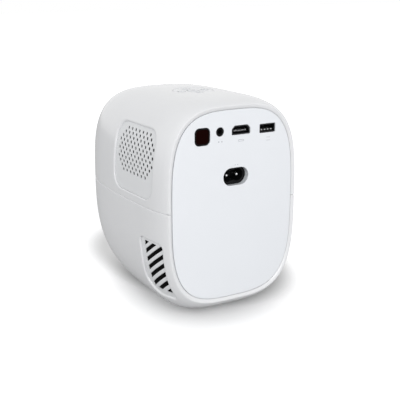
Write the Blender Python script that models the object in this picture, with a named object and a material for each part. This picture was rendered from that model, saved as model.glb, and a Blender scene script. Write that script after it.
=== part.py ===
"""Small tower projector, in metres.

Frame: Z is up and the floor is at zero, Y runs from the lens side (front, negative) to the
socket side (rear, positive), and the origin is on the floor under the middle of the body.
The body is a rounded block whose every cross-section is a superellipse. Its size along Y
follows one law for the front part and one for the rear part.
"""

import math

import bmesh
import bpy
import numpy as np
from mathutils import Matrix, Vector

MM = 0.001

# Clearances shared by all pieces
GAP = 0.3 * MM
OVERRUN = 1.5 * MM
MERGE_DISTANCE = 0.01 * MM
STADIUM_FLAT = 0.06 * MM

# Body: seam is the widest level, everything is measured from it
BODY_LENGTH = 135.5 * MM
BODY_HALF_WIDTH = 58.72 * MM
SEAM_TO_TOP = 75.79 * MM
SEAM_TO_BASE = 83.21 * MM
BASE_ABOVE_FLOOR = 2.0 * MM
WIDEST_TO_REAR = 33.4 * MM
FRONT_LAW_BEYOND = 20.1 * MM
REAR_DRAW_IN = 5.95 * MM
REAR_TOP_DROP = 3.84 * MM
REAR_BASE_RISE = 10.27 * MM
FRONT_EDGE_ROUND = 3.0 * MM
WALL = 2.2 * MM
SECTION_POWER_share = 3.388
FRONT_TOP_POWER_share = 3.3
FRONT_BASE_POWER_share = 2.659
WIDTH_LAW_share = 3.511
TOP_LAW_share = 4.601
BASE_LAW_share = 4.0
REAR_LAW_share = 1.914
ARC_STEPS = 20
LENGTH_STEPS = 10
LENGTH_CROWD_share = 1.35
EDGE_STEPS = 3
ROUND_STEPS = 24
BORE_STEPS = 36
CAN_STEPS = 16
SMALL_STEPS = 12
PIN_STEPS = 10
SCREW_STEPS = 8

# Flat plinth under the lower shell, with the feet let into it
PLINTH_DROP = 0.3 * MM
PLINTH_HALF_WIDTH = 24.0 * MM
PLINTH_FRONT = 36.0 * MM
PLINTH_REAR = 24.0 * MM
PLINTH_CORNER = 8.0 * MM
PLINTH_HEIGHT = 10.0 * MM
FOOT_RADIUS = 5.0 * MM
FOOT_SUNK = 0.8 * MM
FOOT_EDGE = 0.6 * MM
FOOT_INSET = 7.0 * MM

# Threaded socket for a stand, in a boss of the lower shell
STAND_Y = -10.0 * MM
STAND_NUT_RADIUS = 5.0 * MM
STAND_BORE_RADIUS = 3.1 * MM
STAND_NUT_HEIGHT = 7.0 * MM
STAND_BOSS_WALL = 1.8 * MM

# Panels that close the front and the rear
PANEL_THICKNESS = 2.5 * MM
PANEL_SUNK = 0.5 * MM
PANEL_GROOVE = 0.5 * MM
PANEL_PILLOW = 1.0 * MM

# Speaker grilles, one on each side
GRILLE_TO_REAR = 15.75 * MM
GRILLE_LENGTH = 61.2 * MM
GRILLE_ABOVE_SEAM = 5.79 * MM
GRILLE_BELOW_TOP = 19.7 * MM
GRILLE_CORNER = 11.0 * MM
INSERT_SUNK = 1.2 * MM
INSERT_BACK = 3.9 * MM
FLANGE_BACK = 3.6 * MM
FLANGE_RIM = 2.0 * MM
HOLE_RADIUS = 1.2 * MM
HOLE_SIDES = 5
HOLE_COLUMN_PITCH = 5.65 * MM
HOLE_ROW_PITCH = 3.04 * MM
HOLE_TOP_MARGIN = 4.3 * MM
HOLE_SHIFT = 3.0 * MM
HOLE_ROWS = (7, 8, 9, 10, 9, 10, 9, 10, 9, 8, 7)

# Slanted air vents, one on each side of the lower shell
VENT_TO_REAR = 6.75 * MM
VENT_LENGTH = 29.0 * MM
VENT_BELOW_SEAM = 23.21 * MM
VENT_ABOVE_BASE = 16.0 * MM
VENT_CORNER = 4.0 * MM
VENT_FRONT_CORNER = 15.0 * MM
SLOT_FRONT_MARGIN = 9.5 * MM
SLOT_REAR_MARGIN = 2.4 * MM
SLOT_LOW_MARGIN = 5.5 * MM
SLOT_HIGH_MARGIN = 1.7 * MM
SLOT_HEIGHT = 2.7 * MM
SLOT_PITCH = 6.65 * MM
SLOT_FIRST_RISE = 13.95 * MM
SLOT_SLOPE_share = 0.79
SLOT_COUNT = 8

# Round control pad on the top, with five keys
PAD_Y = 10.0 * MM
PAD_RADIUS = 15.0 * MM
PAD_SUNK = 0.5 * MM
PAD_THICKNESS = 2.3 * MM
PAD_FLOOR = 1.9 * MM
PAD_BOSS_RIM = 2.7 * MM
POWER_KEY_RADIUS = 4.6 * MM
KEY_RADIUS = 2.9 * MM
KEY_CIRCLE = 9.9 * MM
KEY_PROUD = 0.4 * MM
KEY_TRAVEL = 0.5 * MM
KEY_FLANGE = 1.1 * MM
KEY_FLANGE_RIM = 0.9 * MM
SWITCH_RADIUS = 1.6 * MM
SWITCH_HEIGHT = 1.2 * MM
KEY_BOARD_RADIUS = 17.0 * MM
KEY_POST_RADIUS = 1.8 * MM
KEY_POST_REACH = 14.6 * MM
BOARD_THICKNESS = 1.6 * MM

# Main board under the top, with the sockets hanging from it
MAIN_BOARD_BELOW_TOP = 18.5 * MM
MAIN_BOARD_TO_REAR = 5.75 * MM
MAIN_BOARD_DEPTH = 41.0 * MM
MAIN_BOARD_TO_SIDE = 21.72 * MM
POST_RADIUS = 2.5 * MM
BOARD_POST_X = 22.0 * MM
BOARD_POST_INSET = 7.0 * MM
SOCKET_SUNK = 0.6 * MM
VIDEO_HALF_WIDTH = 7.5 * MM
VIDEO_HEIGHT = 6.1 * MM
VIDEO_CHAMFER = 2.2 * MM
VIDEO_DEPTH = 12.0 * MM
VIDEO_TONGUE_HALF_WIDTH = 5.4 * MM
SOCKET_WALL = 0.5 * MM
SOCKET_FLOOR = 1.5 * MM
TONGUE_HEIGHT = 1.7 * MM
TONGUE_RISE = 1.0 * MM
TONGUE_SUNK = 1.2 * MM
DATA_HALF_WIDTH = 6.6 * MM
DATA_BELOW_BOARD = 1.2 * MM
DATA_HEIGHT = 6.0 * MM
DATA_DEPTH = 14.0 * MM
DATA_TONGUE_HALF_WIDTH = 5.4 * MM
DATA_LEG_WIDTH = 1.2 * MM
SOUND_BELOW_BOARD = 3.3 * MM
SOUND_RADIUS = 3.0 * MM
SOUND_BORE_RADIUS = 1.8 * MM
SOUND_BODY_HALF_WIDTH = 3.6 * MM
SOUND_BODY_DEPTH = 12.0 * MM
SENSOR_BELOW_BOARD = 5.5 * MM
WINDOW_HALF_WIDTH = 6.0 * MM
WINDOW_CORNER = 3.4 * MM
WINDOW_THICKNESS = 1.7 * MM
SENSOR_HALF_WIDTH = 3.0 * MM
SENSOR_DEPTH = 4.0 * MM
SENSOR_DOME_RADIUS = 2.2 * MM
SENSOR_DOME_REACH = 1.8 * MM

# Free stretches beside and between data socket, video socket, sound jack and window
SOCKET_GAP_shares = (0.0752, 0.3271, 0.2444, 0.1805)

# Mains inlet for a two-pin lead, low in the middle of the rear panel
INLET_X = -1.65 * MM
INLET_BELOW_BOARD = 36.75 * MM
INLET_HOLE_HALF_WIDTH = 10.55 * MM
INLET_HOLE_HALF_HEIGHT = 6.45 * MM
INLET_COLLAR_DEPTH = 4.3 * MM
INLET_COLLAR_WALL = 1.5 * MM
INLET_CAVITY_HALF_WIDTH = 8.6 * MM
INLET_CAVITY_HALF_HEIGHT = 4.6 * MM
INLET_CAVITY_DEPTH = 12.5 * MM
INLET_BODY_DEPTH = 16.0 * MM
INLET_BODY_WALL = 3.2 * MM
PIN_SPACING = 8.6 * MM
PIN_RADIUS = 1.2 * MM
PIN_TIP_SUNK = 6.0 * MM

# Power board on standoffs of the rear panel
POWER_BOARD_TO_REAR = 17.75 * MM
POWER_BOARD_BELOW_INLET = 10.25 * MM
POWER_BOARD_HEIGHT = 37.5 * MM
POWER_BOARD_TO_SIDE = 29.72 * MM
POWER_POST_INSET = 4.0 * MM
TRANSFORMER_X = -12.0 * MM
TRANSFORMER_HALF_WIDTH = 10.0 * MM
TRANSFORMER_HALF_HEIGHT = 9.0 * MM
TRANSFORMER_DEPTH = 13.5 * MM
CAPACITOR_X = 14.0 * MM
CAPACITOR_RADIUS = 6.0 * MM

# Optical box: light climbs from its foot and a tilted mirror turns it to the front
BOX_TO_SIDE = 25.72 * MM
BOX_TO_FRONT = 39.75 * MM
BOX_TO_REAR = 49.75 * MM
BOX_WALL = 2.5 * MM
MIRROR_RISE = 46.0 * MM
LENS_BELOW_BOX_TOP = 23.0 * MM
LIGHT_HOLE_RADIUS = 14.5 * MM
MIRROR_THICKNESS = 2.0 * MM
MIRROR_MARGIN = 1.0 * MM
CONDENSER_MARGIN = 3.0 * MM
CONDENSER_EDGE = 2.0 * MM
CONDENSER_DOME = 4.5 * MM
CONDENSER_DOME_shares = ((0.8, 0.55), (0.45, 0.9))
LIGHT_BOARD_STEP = 2.5 * MM
EMITTER_WIDTH_share = 0.343
EMITTER_HEIGHT = 1.2 * MM
FUNNEL_FOOT_share = 0.5314
FUNNEL_STEP = 1.0 * MM
FUNNEL_HEIGHT = 14.0 * MM
FUNNEL_WALL = 1.4 * MM
PLATE_THICKNESS = 1.5 * MM
PLATE_GAP = 2.0 * MM
PLATES_ABOVE_LENS = 4.0 * MM
SLOPE_ABOVE_PLATES = 2.5 * MM

# Heat sink under the optical box
SINK_STEP = 2.0 * MM
SINK_BASE = 4.0 * MM
SINK_ABOVE_BASE = 12.0 * MM
SINK_HEIGHT = 30.0 * MM
SINK_FIN = 1.4 * MM
SINK_FINS = 11
SINK_POST_RADIUS = 3.0 * MM
SINK_POST_INSET = 7.0 * MM

# Fan behind the heat sink, blowing towards the side vents
FAN_HALF_WIDTH = 25.0 * MM
FAN_DEPTH = 15.0 * MM
FAN_ABOVE_BASE = 35.0 * MM
FAN_CORNER = 3.0 * MM
FAN_DUCT_RADIUS = 23.3 * MM
FAN_HUB_RADIUS = 9.0 * MM
FAN_BACK = 2.0 * MM
FAN_SPOKE = 3.0 * MM
FAN_SPOKES = 3
FAN_BLADES = 7
FAN_BLADE_THICKNESS = 1.2 * MM
FAN_BLADE_TIP_GAP = 1.0 * MM
FAN_ROOT_PITCH = math.radians(48.0)
FAN_TIP_PITCH = math.radians(62.0)
FAN_INTAKE_GAP = 1.0 * MM
FAN_POST_X = 17.0 * MM

# Projection lens with its focus ring
MOUNT_HALF_WIDTH = 21.0 * MM
MOUNT_FLANGE = 2.7 * MM
MOUNT_TUBE_WALL = 2.5 * MM
MOUNT_TO_FRONT = 10.75 * MM
BARREL_RADIUS = 17.2 * MM
BARREL_WALL = 2.6 * MM
BARREL_TO_FRONT = 7.75 * MM
BARREL_TO_BOX = 5.0 * MM
FOCUS_TRAVEL = 4.0 * MM
FOCUS_TURN = math.radians(90.0)
FOCUS_PIN_RADIUS = 1.5 * MM
FOCUS_PIN_TO_FRONT = 18.75 * MM
FOCUS_GROOVE_STEPS = 16
FOCUS_PIN_BITE = 2.4 * MM
FOCUS_GROOVE_DEPTH = 2.8 * MM
RING_WALL = 4.4 * MM
RING_TO_FRONT = 1.35 * MM
RING_LENGTH = 21.4 * MM
RING_RIDGES = 18
RING_RIDGE_HEIGHT = 0.7 * MM
RING_LIP = 2.2 * MM
APERTURE_RADIUS = 27.2 * MM
FRONT_GLASS_SUNK = 4.0 * MM
REAR_GLASS_SUNK = 6.0 * MM
GLASS_EDGE = 2.5 * MM
GLASS_DOME = 2.0 * MM
GLASS_DOME_shares = ((0.0, 1.0), (0.45, 0.85), (0.8, 0.45))
SCREW_RADIUS = 1.25 * MM
SCREW_HEAD_RADIUS = 2.3 * MM
SCREW_HEAD = 1.5 * MM
SCREW_LENGTH = 4.4 * MM
SCREW_INSET = 3.3 * MM

# Speakers behind the grilles
SPEAKER_RISE = 0.85 * MM
SPEAKER_RADIUS = 18.0 * MM
SPEAKER_FLANGE = 2.0 * MM
SPEAKER_DEPTH = 14.0 * MM
SPEAKER_MAGNET_RADIUS = 9.5 * MM
SPEAKER_MAGNET_DEPTH = 6.0 * MM
CONE_RADIUS = 15.0 * MM
CONE_DEPTH = 5.0 * MM
CONE_WALL = 0.8 * MM
CONE_CAP_RADIUS = 5.0 * MM

# Places worked out from the sizes above
REAR_Y = BODY_LENGTH / 2
FRONT_Y = -BODY_LENGTH / 2
WIDEST_Y = REAR_Y - WIDEST_TO_REAR
FRONT_LAW_LENGTH = WIDEST_Y - FRONT_Y + FRONT_LAW_BEYOND
REAR_HALF_WIDTH = BODY_HALF_WIDTH - REAR_DRAW_IN
SEAM_Z = BASE_ABOVE_FLOOR + SEAM_TO_BASE
TOP_Z = SEAM_Z + SEAM_TO_TOP
PLINTH_Z = BASE_ABOVE_FLOOR - PLINTH_DROP
GRILLE_REAR_Y = REAR_Y - GRILLE_TO_REAR
GRILLE_FRONT_Y = GRILLE_REAR_Y - GRILLE_LENGTH
GRILLE_LOW_Z = SEAM_Z + GRILLE_ABOVE_SEAM
GRILLE_HIGH_Z = TOP_Z - GRILLE_BELOW_TOP
HOLE_TOP_ROW_Z = GRILLE_HIGH_Z - HOLE_TOP_MARGIN
HOLE_CENTRE_Y = (GRILLE_FRONT_Y + GRILLE_REAR_Y) / 2 + HOLE_SHIFT
SPEAKER_Y = HOLE_CENTRE_Y
SPEAKER_Z = (GRILLE_LOW_Z + GRILLE_HIGH_Z) / 2 + SPEAKER_RISE
VENT_REAR_Y = REAR_Y - VENT_TO_REAR
VENT_FRONT_Y = VENT_REAR_Y - VENT_LENGTH
VENT_LOW_Z = BASE_ABOVE_FLOOR + VENT_ABOVE_BASE
VENT_HIGH_Z = SEAM_Z - VENT_BELOW_SEAM
SLOT_FRONT_Y = VENT_FRONT_Y + SLOT_FRONT_MARGIN
SLOT_REAR_Y = VENT_REAR_Y - SLOT_REAR_MARGIN
SLOT_LOW_Z = VENT_LOW_Z + SLOT_LOW_MARGIN
SLOT_HIGH_Z = VENT_HIGH_Z - SLOT_HIGH_MARGIN
SLOT_TOP_Z = SLOT_HIGH_Z + SLOT_FIRST_RISE
MAIN_BOARD_Z = TOP_Z - MAIN_BOARD_BELOW_TOP
MAIN_BOARD_REAR_Y = REAR_Y - MAIN_BOARD_TO_REAR
MAIN_BOARD_FRONT_Y = MAIN_BOARD_REAR_Y - MAIN_BOARD_DEPTH
MAIN_BOARD_HALF_WIDTH = BODY_HALF_WIDTH - MAIN_BOARD_TO_SIDE
DATA_TOP_Z = MAIN_BOARD_Z - DATA_BELOW_BOARD
SOUND_Z = MAIN_BOARD_Z - SOUND_BELOW_BOARD
SENSOR_Z = MAIN_BOARD_Z - SENSOR_BELOW_BOARD
SOCKET_WIDTHS = (DATA_HALF_WIDTH, VIDEO_HALF_WIDTH, SOUND_BODY_HALF_WIDTH, WINDOW_HALF_WIDTH)
SOCKET_SPARE = 2 * (MAIN_BOARD_HALF_WIDTH - sum(SOCKET_WIDTHS))
INLET_Z = MAIN_BOARD_Z - INLET_BELOW_BOARD
POWER_BOARD_Y = REAR_Y - POWER_BOARD_TO_REAR
POWER_BOARD_HIGH_Z = INLET_Z - POWER_BOARD_BELOW_INLET
POWER_BOARD_LOW_Z = POWER_BOARD_HIGH_Z - POWER_BOARD_HEIGHT
POWER_BOARD_HALF_WIDTH = BODY_HALF_WIDTH - POWER_BOARD_TO_SIDE
BOX_HALF_WIDTH = BODY_HALF_WIDTH - BOX_TO_SIDE
BOX_FRONT_Y = FRONT_Y + BOX_TO_FRONT
BOX_REAR_Y = REAR_Y - BOX_TO_REAR
SINK_HALF_WIDTH = BOX_HALF_WIDTH - SINK_STEP
SINK_LOW_Z = BASE_ABOVE_FLOOR + SINK_ABOVE_BASE
BOX_LOW_Z = SINK_LOW_Z + SINK_HEIGHT + GAP
CONDENSER_Z = BOX_LOW_Z + BOARD_THICKNESS + GAP + FUNNEL_HEIGHT + GAP
LOWER_FRESNEL_Z = CONDENSER_Z + CONDENSER_EDGE + CONDENSER_DOME + PLATES_ABOVE_LENS
IMAGE_PLATE_Z = LOWER_FRESNEL_Z + PLATE_THICKNESS + PLATE_GAP
UPPER_FRESNEL_Z = IMAGE_PLATE_Z + PLATE_THICKNESS + PLATE_GAP
BOX_REAR_TOP_Z = UPPER_FRESNEL_Z + PLATE_THICKNESS + SLOPE_ABOVE_PLATES
BOX_TOP_Z = BOX_REAR_TOP_Z + MIRROR_RISE
LENS_Z = BOX_TOP_Z - LENS_BELOW_BOX_TOP
PANEL_BACK_Y = REAR_Y - PANEL_SUNK
PANEL_INNER_Y = PANEL_BACK_Y - PANEL_THICKNESS
FACE_FRONT_Y = FRONT_Y + PANEL_SUNK
FACE_INNER_Y = FACE_FRONT_Y + PANEL_THICKNESS
BOX_MID_Y = (BOX_FRONT_Y + BOX_REAR_Y) / 2
CONDENSER_RADIUS = (BOX_REAR_Y - BOX_FRONT_Y) / 2 - BOX_WALL - CONDENSER_MARGIN
FUNNEL_LOW_RADIUS = CONDENSER_RADIUS * FUNNEL_FOOT_share
FUNNEL_HIGH_RADIUS = CONDENSER_RADIUS - FUNNEL_STEP
EMITTER_HALF_WIDTH = CONDENSER_RADIUS * EMITTER_WIDTH_share
LIGHT_BOARD_HALF_WIDTH = CONDENSER_RADIUS - LIGHT_BOARD_STEP
FAN_Z = BASE_ABOVE_FLOOR + FAN_ABOVE_BASE
FAN_FRONT_Y = BOX_REAR_Y + GAP
FAN_REAR_Y = FAN_FRONT_Y + FAN_DEPTH
PAD_FLOOR_Z = TOP_Z - PAD_SUNK - PAD_THICKNESS - GAP
PAD_BOSS_Z = PAD_FLOOR_Z - PAD_FLOOR
KEY_BOARD_TOP_Z = PAD_BOSS_Z - GAP - KEY_FLANGE - GAP - KEY_TRAVEL - SWITCH_HEIGHT
KEY_POSITIONS = {
    "power_key": (0.0, 0.0, POWER_KEY_RADIUS),
    "key_front": (0.0, -KEY_CIRCLE, KEY_RADIUS),
    "key_rear": (0.0, KEY_CIRCLE, KEY_RADIUS),
    "key_left": (-KEY_CIRCLE, 0.0, KEY_RADIUS),
    "key_right": (KEY_CIRCLE, 0.0, KEY_RADIUS),
}
MOUNT_BORE_RADIUS = BARREL_RADIUS + GAP
MOUNT_TUBE_RADIUS = MOUNT_BORE_RADIUS + MOUNT_TUBE_WALL
RING_BORE_RADIUS = MOUNT_TUBE_RADIUS + GAP
RING_RADIUS = RING_BORE_RADIUS + RING_WALL
MOUNT_REAR_Y = BOX_FRONT_Y - GAP
MOUNT_FACE_Y = MOUNT_REAR_Y - MOUNT_FLANGE
MOUNT_FRONT_Y = FRONT_Y + MOUNT_TO_FRONT
BARREL_FRONT_Y = FRONT_Y + BARREL_TO_FRONT
BARREL_REAR_Y = BOX_FRONT_Y - BARREL_TO_BOX
FOCUS_PIN_Y = FRONT_Y + FOCUS_PIN_TO_FRONT
RING_FRONT_Y = FRONT_Y + RING_TO_FRONT
RING_REAR_Y = RING_FRONT_Y + RING_LENGTH
FRONT_GLASS_Y = BARREL_FRONT_Y + FRONT_GLASS_SUNK
REAR_GLASS_Y = BARREL_REAR_Y - REAR_GLASS_SUNK


def socket_x(place):
    """Centre of one opening in the row below the board: data, video, sound, window."""
    before = 2 * sum(SOCKET_WIDTHS[:place]) + SOCKET_WIDTHS[place]
    return -MAIN_BOARD_HALF_WIDTH + before + SOCKET_SPARE * sum(SOCKET_GAP_shares[:place + 1])


DATA_X, VIDEO_X, SOUND_X, SENSOR_X = [socket_x(place) for place in range(len(SOCKET_WIDTHS))]


def clear_scene():
    """Remove every object that is already there."""
    for obj in list(bpy.data.objects):
        bpy.data.objects.remove(obj, do_unlink=True)


def finish_mesh(obj):
    """Merge points that coincide and turn all faces outwards."""
    edit = bmesh.new()
    edit.from_mesh(obj.data)
    bmesh.ops.remove_doubles(edit, verts=edit.verts, dist=MERGE_DISTANCE)
    bmesh.ops.recalc_face_normals(edit, faces=edit.faces)
    edit.to_mesh(obj.data)
    edit.free()
    return obj


def mesh_object(name, points, faces):
    """Make an object from points and faces."""
    mesh = bpy.data.meshes.new(name)
    mesh.from_pydata([tuple(point) for point in points], [], faces)
    obj = bpy.data.objects.new(name, mesh)
    bpy.context.scene.collection.objects.link(obj)
    return finish_mesh(obj)


def combine(obj, other, operation):
    """Apply an exact Boolean of the other object and remove that object."""
    modifier = obj.modifiers.new("combine", "BOOLEAN")
    modifier.operation = operation
    modifier.object = other
    modifier.solver = "EXACT"
    bpy.context.view_layer.update()
    graph = bpy.context.evaluated_depsgraph_get()
    result = bpy.data.meshes.new_from_object(obj.evaluated_get(graph))
    obj.modifiers.clear()
    old = obj.data
    obj.data = result
    bpy.data.meshes.remove(old)
    bpy.data.objects.remove(other, do_unlink=True)
    return obj


def cut(obj, other):
    """Take the other object away."""
    return combine(obj, other, "DIFFERENCE")


def join(obj, other):
    """Weld the other object on."""
    return combine(obj, other, "UNION")


def keep_inside(obj, other):
    """Keep what lies inside the other object."""
    return combine(obj, other, "INTERSECT")


def set_origin(obj, point):
    """Move the object's origin to the point and leave its shape in place."""
    obj.data.transform(Matrix.Translation(-Vector(point)))
    obj.location = point
    return obj


def paint(obj, colour, roughness, metallic=0.0, smooth=True):
    """Give the object its own material and its shading."""
    material = bpy.data.materials.new(obj.name)
    material.use_nodes = True
    shader = material.node_tree.nodes["Principled BSDF"]
    shader.inputs["Base Color"].default_value = (*colour, 1.0)
    shader.inputs["Roughness"].default_value = roughness
    shader.inputs["Metallic"].default_value = metallic
    obj.data.materials.clear()
    obj.data.materials.append(material)
    if smooth:
        obj.data.shade_smooth()
        obj.data.set_sharp_from_angle(angle=math.radians(32.0))
    return obj


def to_axis(axis, first, second, along):
    """Place two cross-section coordinates and one along the axis in space."""
    if axis == "X":
        return (along, first, second)
    if axis == "Y":
        return (first, along, second)
    return (first, second, along)


def prisms(name, outlines, axis, low, high):
    """Extrude outlines along an axis, as separate bodies of one mesh."""
    points = []
    faces = []
    for outline in outlines:
        start = len(points)
        count = len(outline)
        points += [to_axis(axis, u, v, low) for u, v in outline]
        points += [to_axis(axis, u, v, high) for u, v in outline]
        faces.append([start + i for i in range(count)])
        faces.append([start + count + i for i in reversed(range(count))])
        for i in range(count):
            j = (i + 1) % count
            faces.append([start + i, start + j, start + count + j, start + count + i])
    return mesh_object(name, points, faces)


def prism(name, outline, axis, low, high):
    """Extrude one outline along an axis."""
    return prisms(name, [outline], axis, low, high)


def block(name, low, high):
    """Make a box between two corners."""
    outline = [(low[0], low[1]), (high[0], low[1]), (high[0], high[1]), (low[0], high[1])]
    return prism(name, outline, "Z", low[2], high[2])


def circle(centre, radius, steps=ROUND_STEPS, start=0.0):
    """Points of a circle, as cross-section coordinates."""
    angles = [start + 2 * math.pi * i / steps for i in range(steps)]
    return [(centre[0] + radius * math.cos(a), centre[1] + radius * math.sin(a)) for a in angles]


def rounded_box(low, high, corners, steps=5):
    """Outline of a box with one radius for each corner, from the low corner round."""
    (u0, v0), (u1, v1) = low, high
    r = corners
    centres = [(u0 + r[0], v0 + r[0]), (u1 - r[1], v0 + r[1]),
               (u1 - r[2], v1 - r[2]), (u0 + r[3], v1 - r[3])]
    outline = []
    for index, (centre, radius) in enumerate(zip(centres, r)):
        start = math.pi + index * math.pi / 2
        for i in range(steps + 1):
            a = start + i * math.pi / 2 / steps
            outline.append((centre[0] + radius * math.cos(a), centre[1] + radius * math.sin(a)))
    return outline


def even_box(centre, half_width, half_height, radius, steps=5):
    """Outline of a box with four equal round corners."""
    low = (centre[0] - half_width, centre[1] - half_height)
    high = (centre[0] + half_width, centre[1] + half_height)
    return rounded_box(low, high, [radius] * 4, steps)


def turned(name, profile, axis, centre, steps=ROUND_STEPS):
    """Turn a closed profile of (radius, place along the axis) round the axis."""
    points = []
    rings = []
    for radius, along in profile:
        if radius == 0:
            rings.append([len(points)] * steps)
            points.append(to_axis(axis, centre[0], centre[1], along))
        else:
            rings.append([len(points) + i for i in range(steps)])
            points += [to_axis(axis, u, v, along) for u, v in circle(centre, radius, steps)]
    faces = []
    for k, ring in enumerate(rings):
        following = rings[(k + 1) % len(rings)]
        for i in range(steps):
            j = (i + 1) % steps
            face = [ring[i], ring[j], following[j], following[i]]
            face = [v for n, v in enumerate(face) if v not in face[:n]]
            if len(face) > 2:
                faces.append(face)
    return mesh_object(name, points, faces)


def rod(name, axis, centre, radius, low, high, steps=ROUND_STEPS):
    """Make a round bar."""
    return prism(name, circle(centre, radius, steps), axis, low, high)


def tube(name, axis, centre, inner, outer, low, high, steps=ROUND_STEPS):
    """Make a round tube with square ends."""
    profile = [(inner, low), (outer, low), (outer, high), (inner, high)]
    return turned(name, profile, axis, centre, steps)


def body_law(y, inset):
    """Half width, heights above and below the seam and both powers of the section at y."""
    front = min(max((WIDEST_Y - y) / FRONT_LAW_LENGTH, 0.0), 1.0)
    rear = min(max((y - WIDEST_Y) / WIDEST_TO_REAR, 0.0), 1.0) ** REAR_LAW_share
    width = BODY_HALF_WIDTH * (1 - front ** WIDTH_LAW_share) ** (1 / WIDTH_LAW_share)
    width -= REAR_DRAW_IN * rear
    above = SEAM_TO_TOP * (1 - front ** TOP_LAW_share) ** (1 / TOP_LAW_share)
    above -= REAR_TOP_DROP * rear
    below = SEAM_TO_BASE * (1 - front ** BASE_LAW_share) ** (1 / BASE_LAW_share)
    below -= REAR_BASE_RISE * rear
    into_edge = max(FRONT_EDGE_ROUND - (y - FRONT_Y), 0.0)
    inset = inset + FRONT_EDGE_ROUND - math.sqrt(FRONT_EDGE_ROUND ** 2 - into_edge ** 2)
    upper_power = SECTION_POWER_share + (FRONT_TOP_POWER_share - SECTION_POWER_share) * front
    lower_power = SECTION_POWER_share + (FRONT_BASE_POWER_share - SECTION_POWER_share) * front
    return width - inset, above - inset, below - inset, upper_power, lower_power


def body_arc(y, inset, side, lift=0.0):
    """Half a section at y, from +X over the top (side 1) or under the base (side -1)."""
    width, above, below, upper_power, lower_power = body_law(y, inset)
    height, power = (above, upper_power) if side > 0 else (below, lower_power)
    angles = np.linspace(0.0, math.pi, ARC_STEPS + 1)
    cosine = np.cos(angles)
    cosine[ARC_STEPS // 2] = 0.0
    sine = np.sin(angles)
    sine[-1] = 0.0
    x = width * np.sign(cosine) * np.abs(cosine) ** (2 / power)
    z = SEAM_Z + side * (lift + (height - lift) * sine ** (2 / power))
    return np.stack([x, np.full_like(x, y), z], axis=1)


def body_ring(y, inset, place=None):
    """A whole section at y, moved along Y to the place where that is given."""
    upper = body_arc(y, inset, 1)
    lower = body_arc(y, inset, -1)[::-1]
    ring = np.concatenate([upper, lower[1:-1]])
    if place is not None:
        ring[:, 1] = place
    return ring


def body_x(y, z, inset):
    """Half width of the body at one point of its side."""
    width, above, below, upper_power, lower_power = body_law(y, inset)
    height, power = (above, upper_power) if z > SEAM_Z else (below, lower_power)
    share = min(abs(z - SEAM_Z) / height, 1.0)
    return width * (1 - share ** power) ** (1 / power)


def body_z(x, y, inset, side):
    """Height of the top (side 1) or the base (side -1) over one point of the floor."""
    width, above, below, upper_power, lower_power = body_law(y, inset)
    height, power = (above, upper_power) if side > 0 else (below, lower_power)
    return SEAM_Z + side * height * (1 - (abs(x) / width) ** power) ** (1 / power)


def length_places():
    """Places along the body where its sections are taken, closer on the round front edge."""
    turns = [i * math.pi / 2 / EDGE_STEPS for i in range(EDGE_STEPS)]
    edge = [FRONT_Y + FRONT_EDGE_ROUND * (1 - math.cos(turn)) for turn in turns]
    start = FRONT_Y + FRONT_EDGE_ROUND
    shares = np.linspace(0.0, 1.0, LENGTH_STEPS + 1) ** LENGTH_CROWD_share
    return edge + list(start + (REAR_Y - start) * shares)


def loft(name, rings):
    """Skin rings of equal length and close both ends."""
    count = len(rings[0])
    points = np.concatenate(rings)
    faces = [list(range(count)), list(range(len(points) - count, len(points)))]
    for k in range(len(rings) - 1):
        for i in range(count):
            j = (i + 1) % count
            a = k * count
            b = a + count
            faces.append([a + i, a + j, b + j, b + i])
    return mesh_object(name, points, faces)


def half_shell(name, side):
    """Half of the casing, open along the seam, at the front and at the rear."""
    rings = []
    for y in length_places():
        outer = body_arc(y, 0.0, side, GAP / 2)
        inner = body_arc(y, WALL, side, GAP / 2)[::-1]
        rings.append(np.concatenate([outer, inner]))
    count = len(rings[0])
    half = count // 2
    points = np.concatenate(rings)
    faces = []
    for k in range(len(rings) - 1):
        for i in range(count):
            j = (i + 1) % count
            a = k * count
            b = a + count
            faces.append([a + i, a + j, b + j, b + i])
    for a in (0, len(points) - count):
        for i in range(half - 1):
            faces.append([a + i, a + i + 1, a + count - 2 - i, a + count - 1 - i])
    return mesh_object(name, points, faces)


def body_solid(name, inset):
    """The whole body as one solid, drawn in all round by the inset."""
    return loft(name, [body_ring(y, inset) for y in length_places()])


def side_arc(y, inset, z_range, steps):
    """Part of the body's side at y between two heights, in even turns of the section."""
    width, above, below, upper_power, lower_power = body_law(y, inset)
    side = 1 if z_range[1] > SEAM_Z else -1
    height, power = (above, upper_power) if side > 0 else (below, lower_power)
    limits = [math.asin((abs(z - SEAM_Z) / height) ** (power / 2)) for z in z_range]
    angles = np.linspace(*limits, steps + 1)
    x = width * np.cos(angles) ** (2 / power)
    z = SEAM_Z + side * height * np.sin(angles) ** (2 / power)
    return np.stack([x, np.full_like(x, y), z], axis=1)


def side_slab(name, side, y_range, z_range, outer, inner, y_steps=2, z_steps=5):
    """A curved slab between two insets of the body's side."""
    ys = np.linspace(*y_range, y_steps + 1)
    grids = [np.concatenate([side_arc(y, inset, z_range, z_steps) for y in ys])
             for inset in (outer, inner)]
    points = np.concatenate(grids) * (side, 1, 1)
    row = z_steps + 1
    layer = row * (y_steps + 1)
    faces = []
    for k in range(y_steps):
        for i in range(z_steps):
            a = k * row + i
            faces.append([a, a + 1, a + 1 + row, a + row])
            faces.append([layer + a, layer + a + row, layer + a + 1 + row, layer + a + 1])
    edge = list(range(row))
    edge += [k * row + z_steps for k in range(1, y_steps + 1)]
    edge += [y_steps * row + i for i in range(z_steps - 1, -1, -1)]
    edge += [k * row for k in range(y_steps - 1, 0, -1)]
    for i, a in enumerate(edge):
        b = edge[(i + 1) % len(edge)]
        faces.append([a, b, layer + b, layer + a])
    return mesh_object(name, points, faces)


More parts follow.
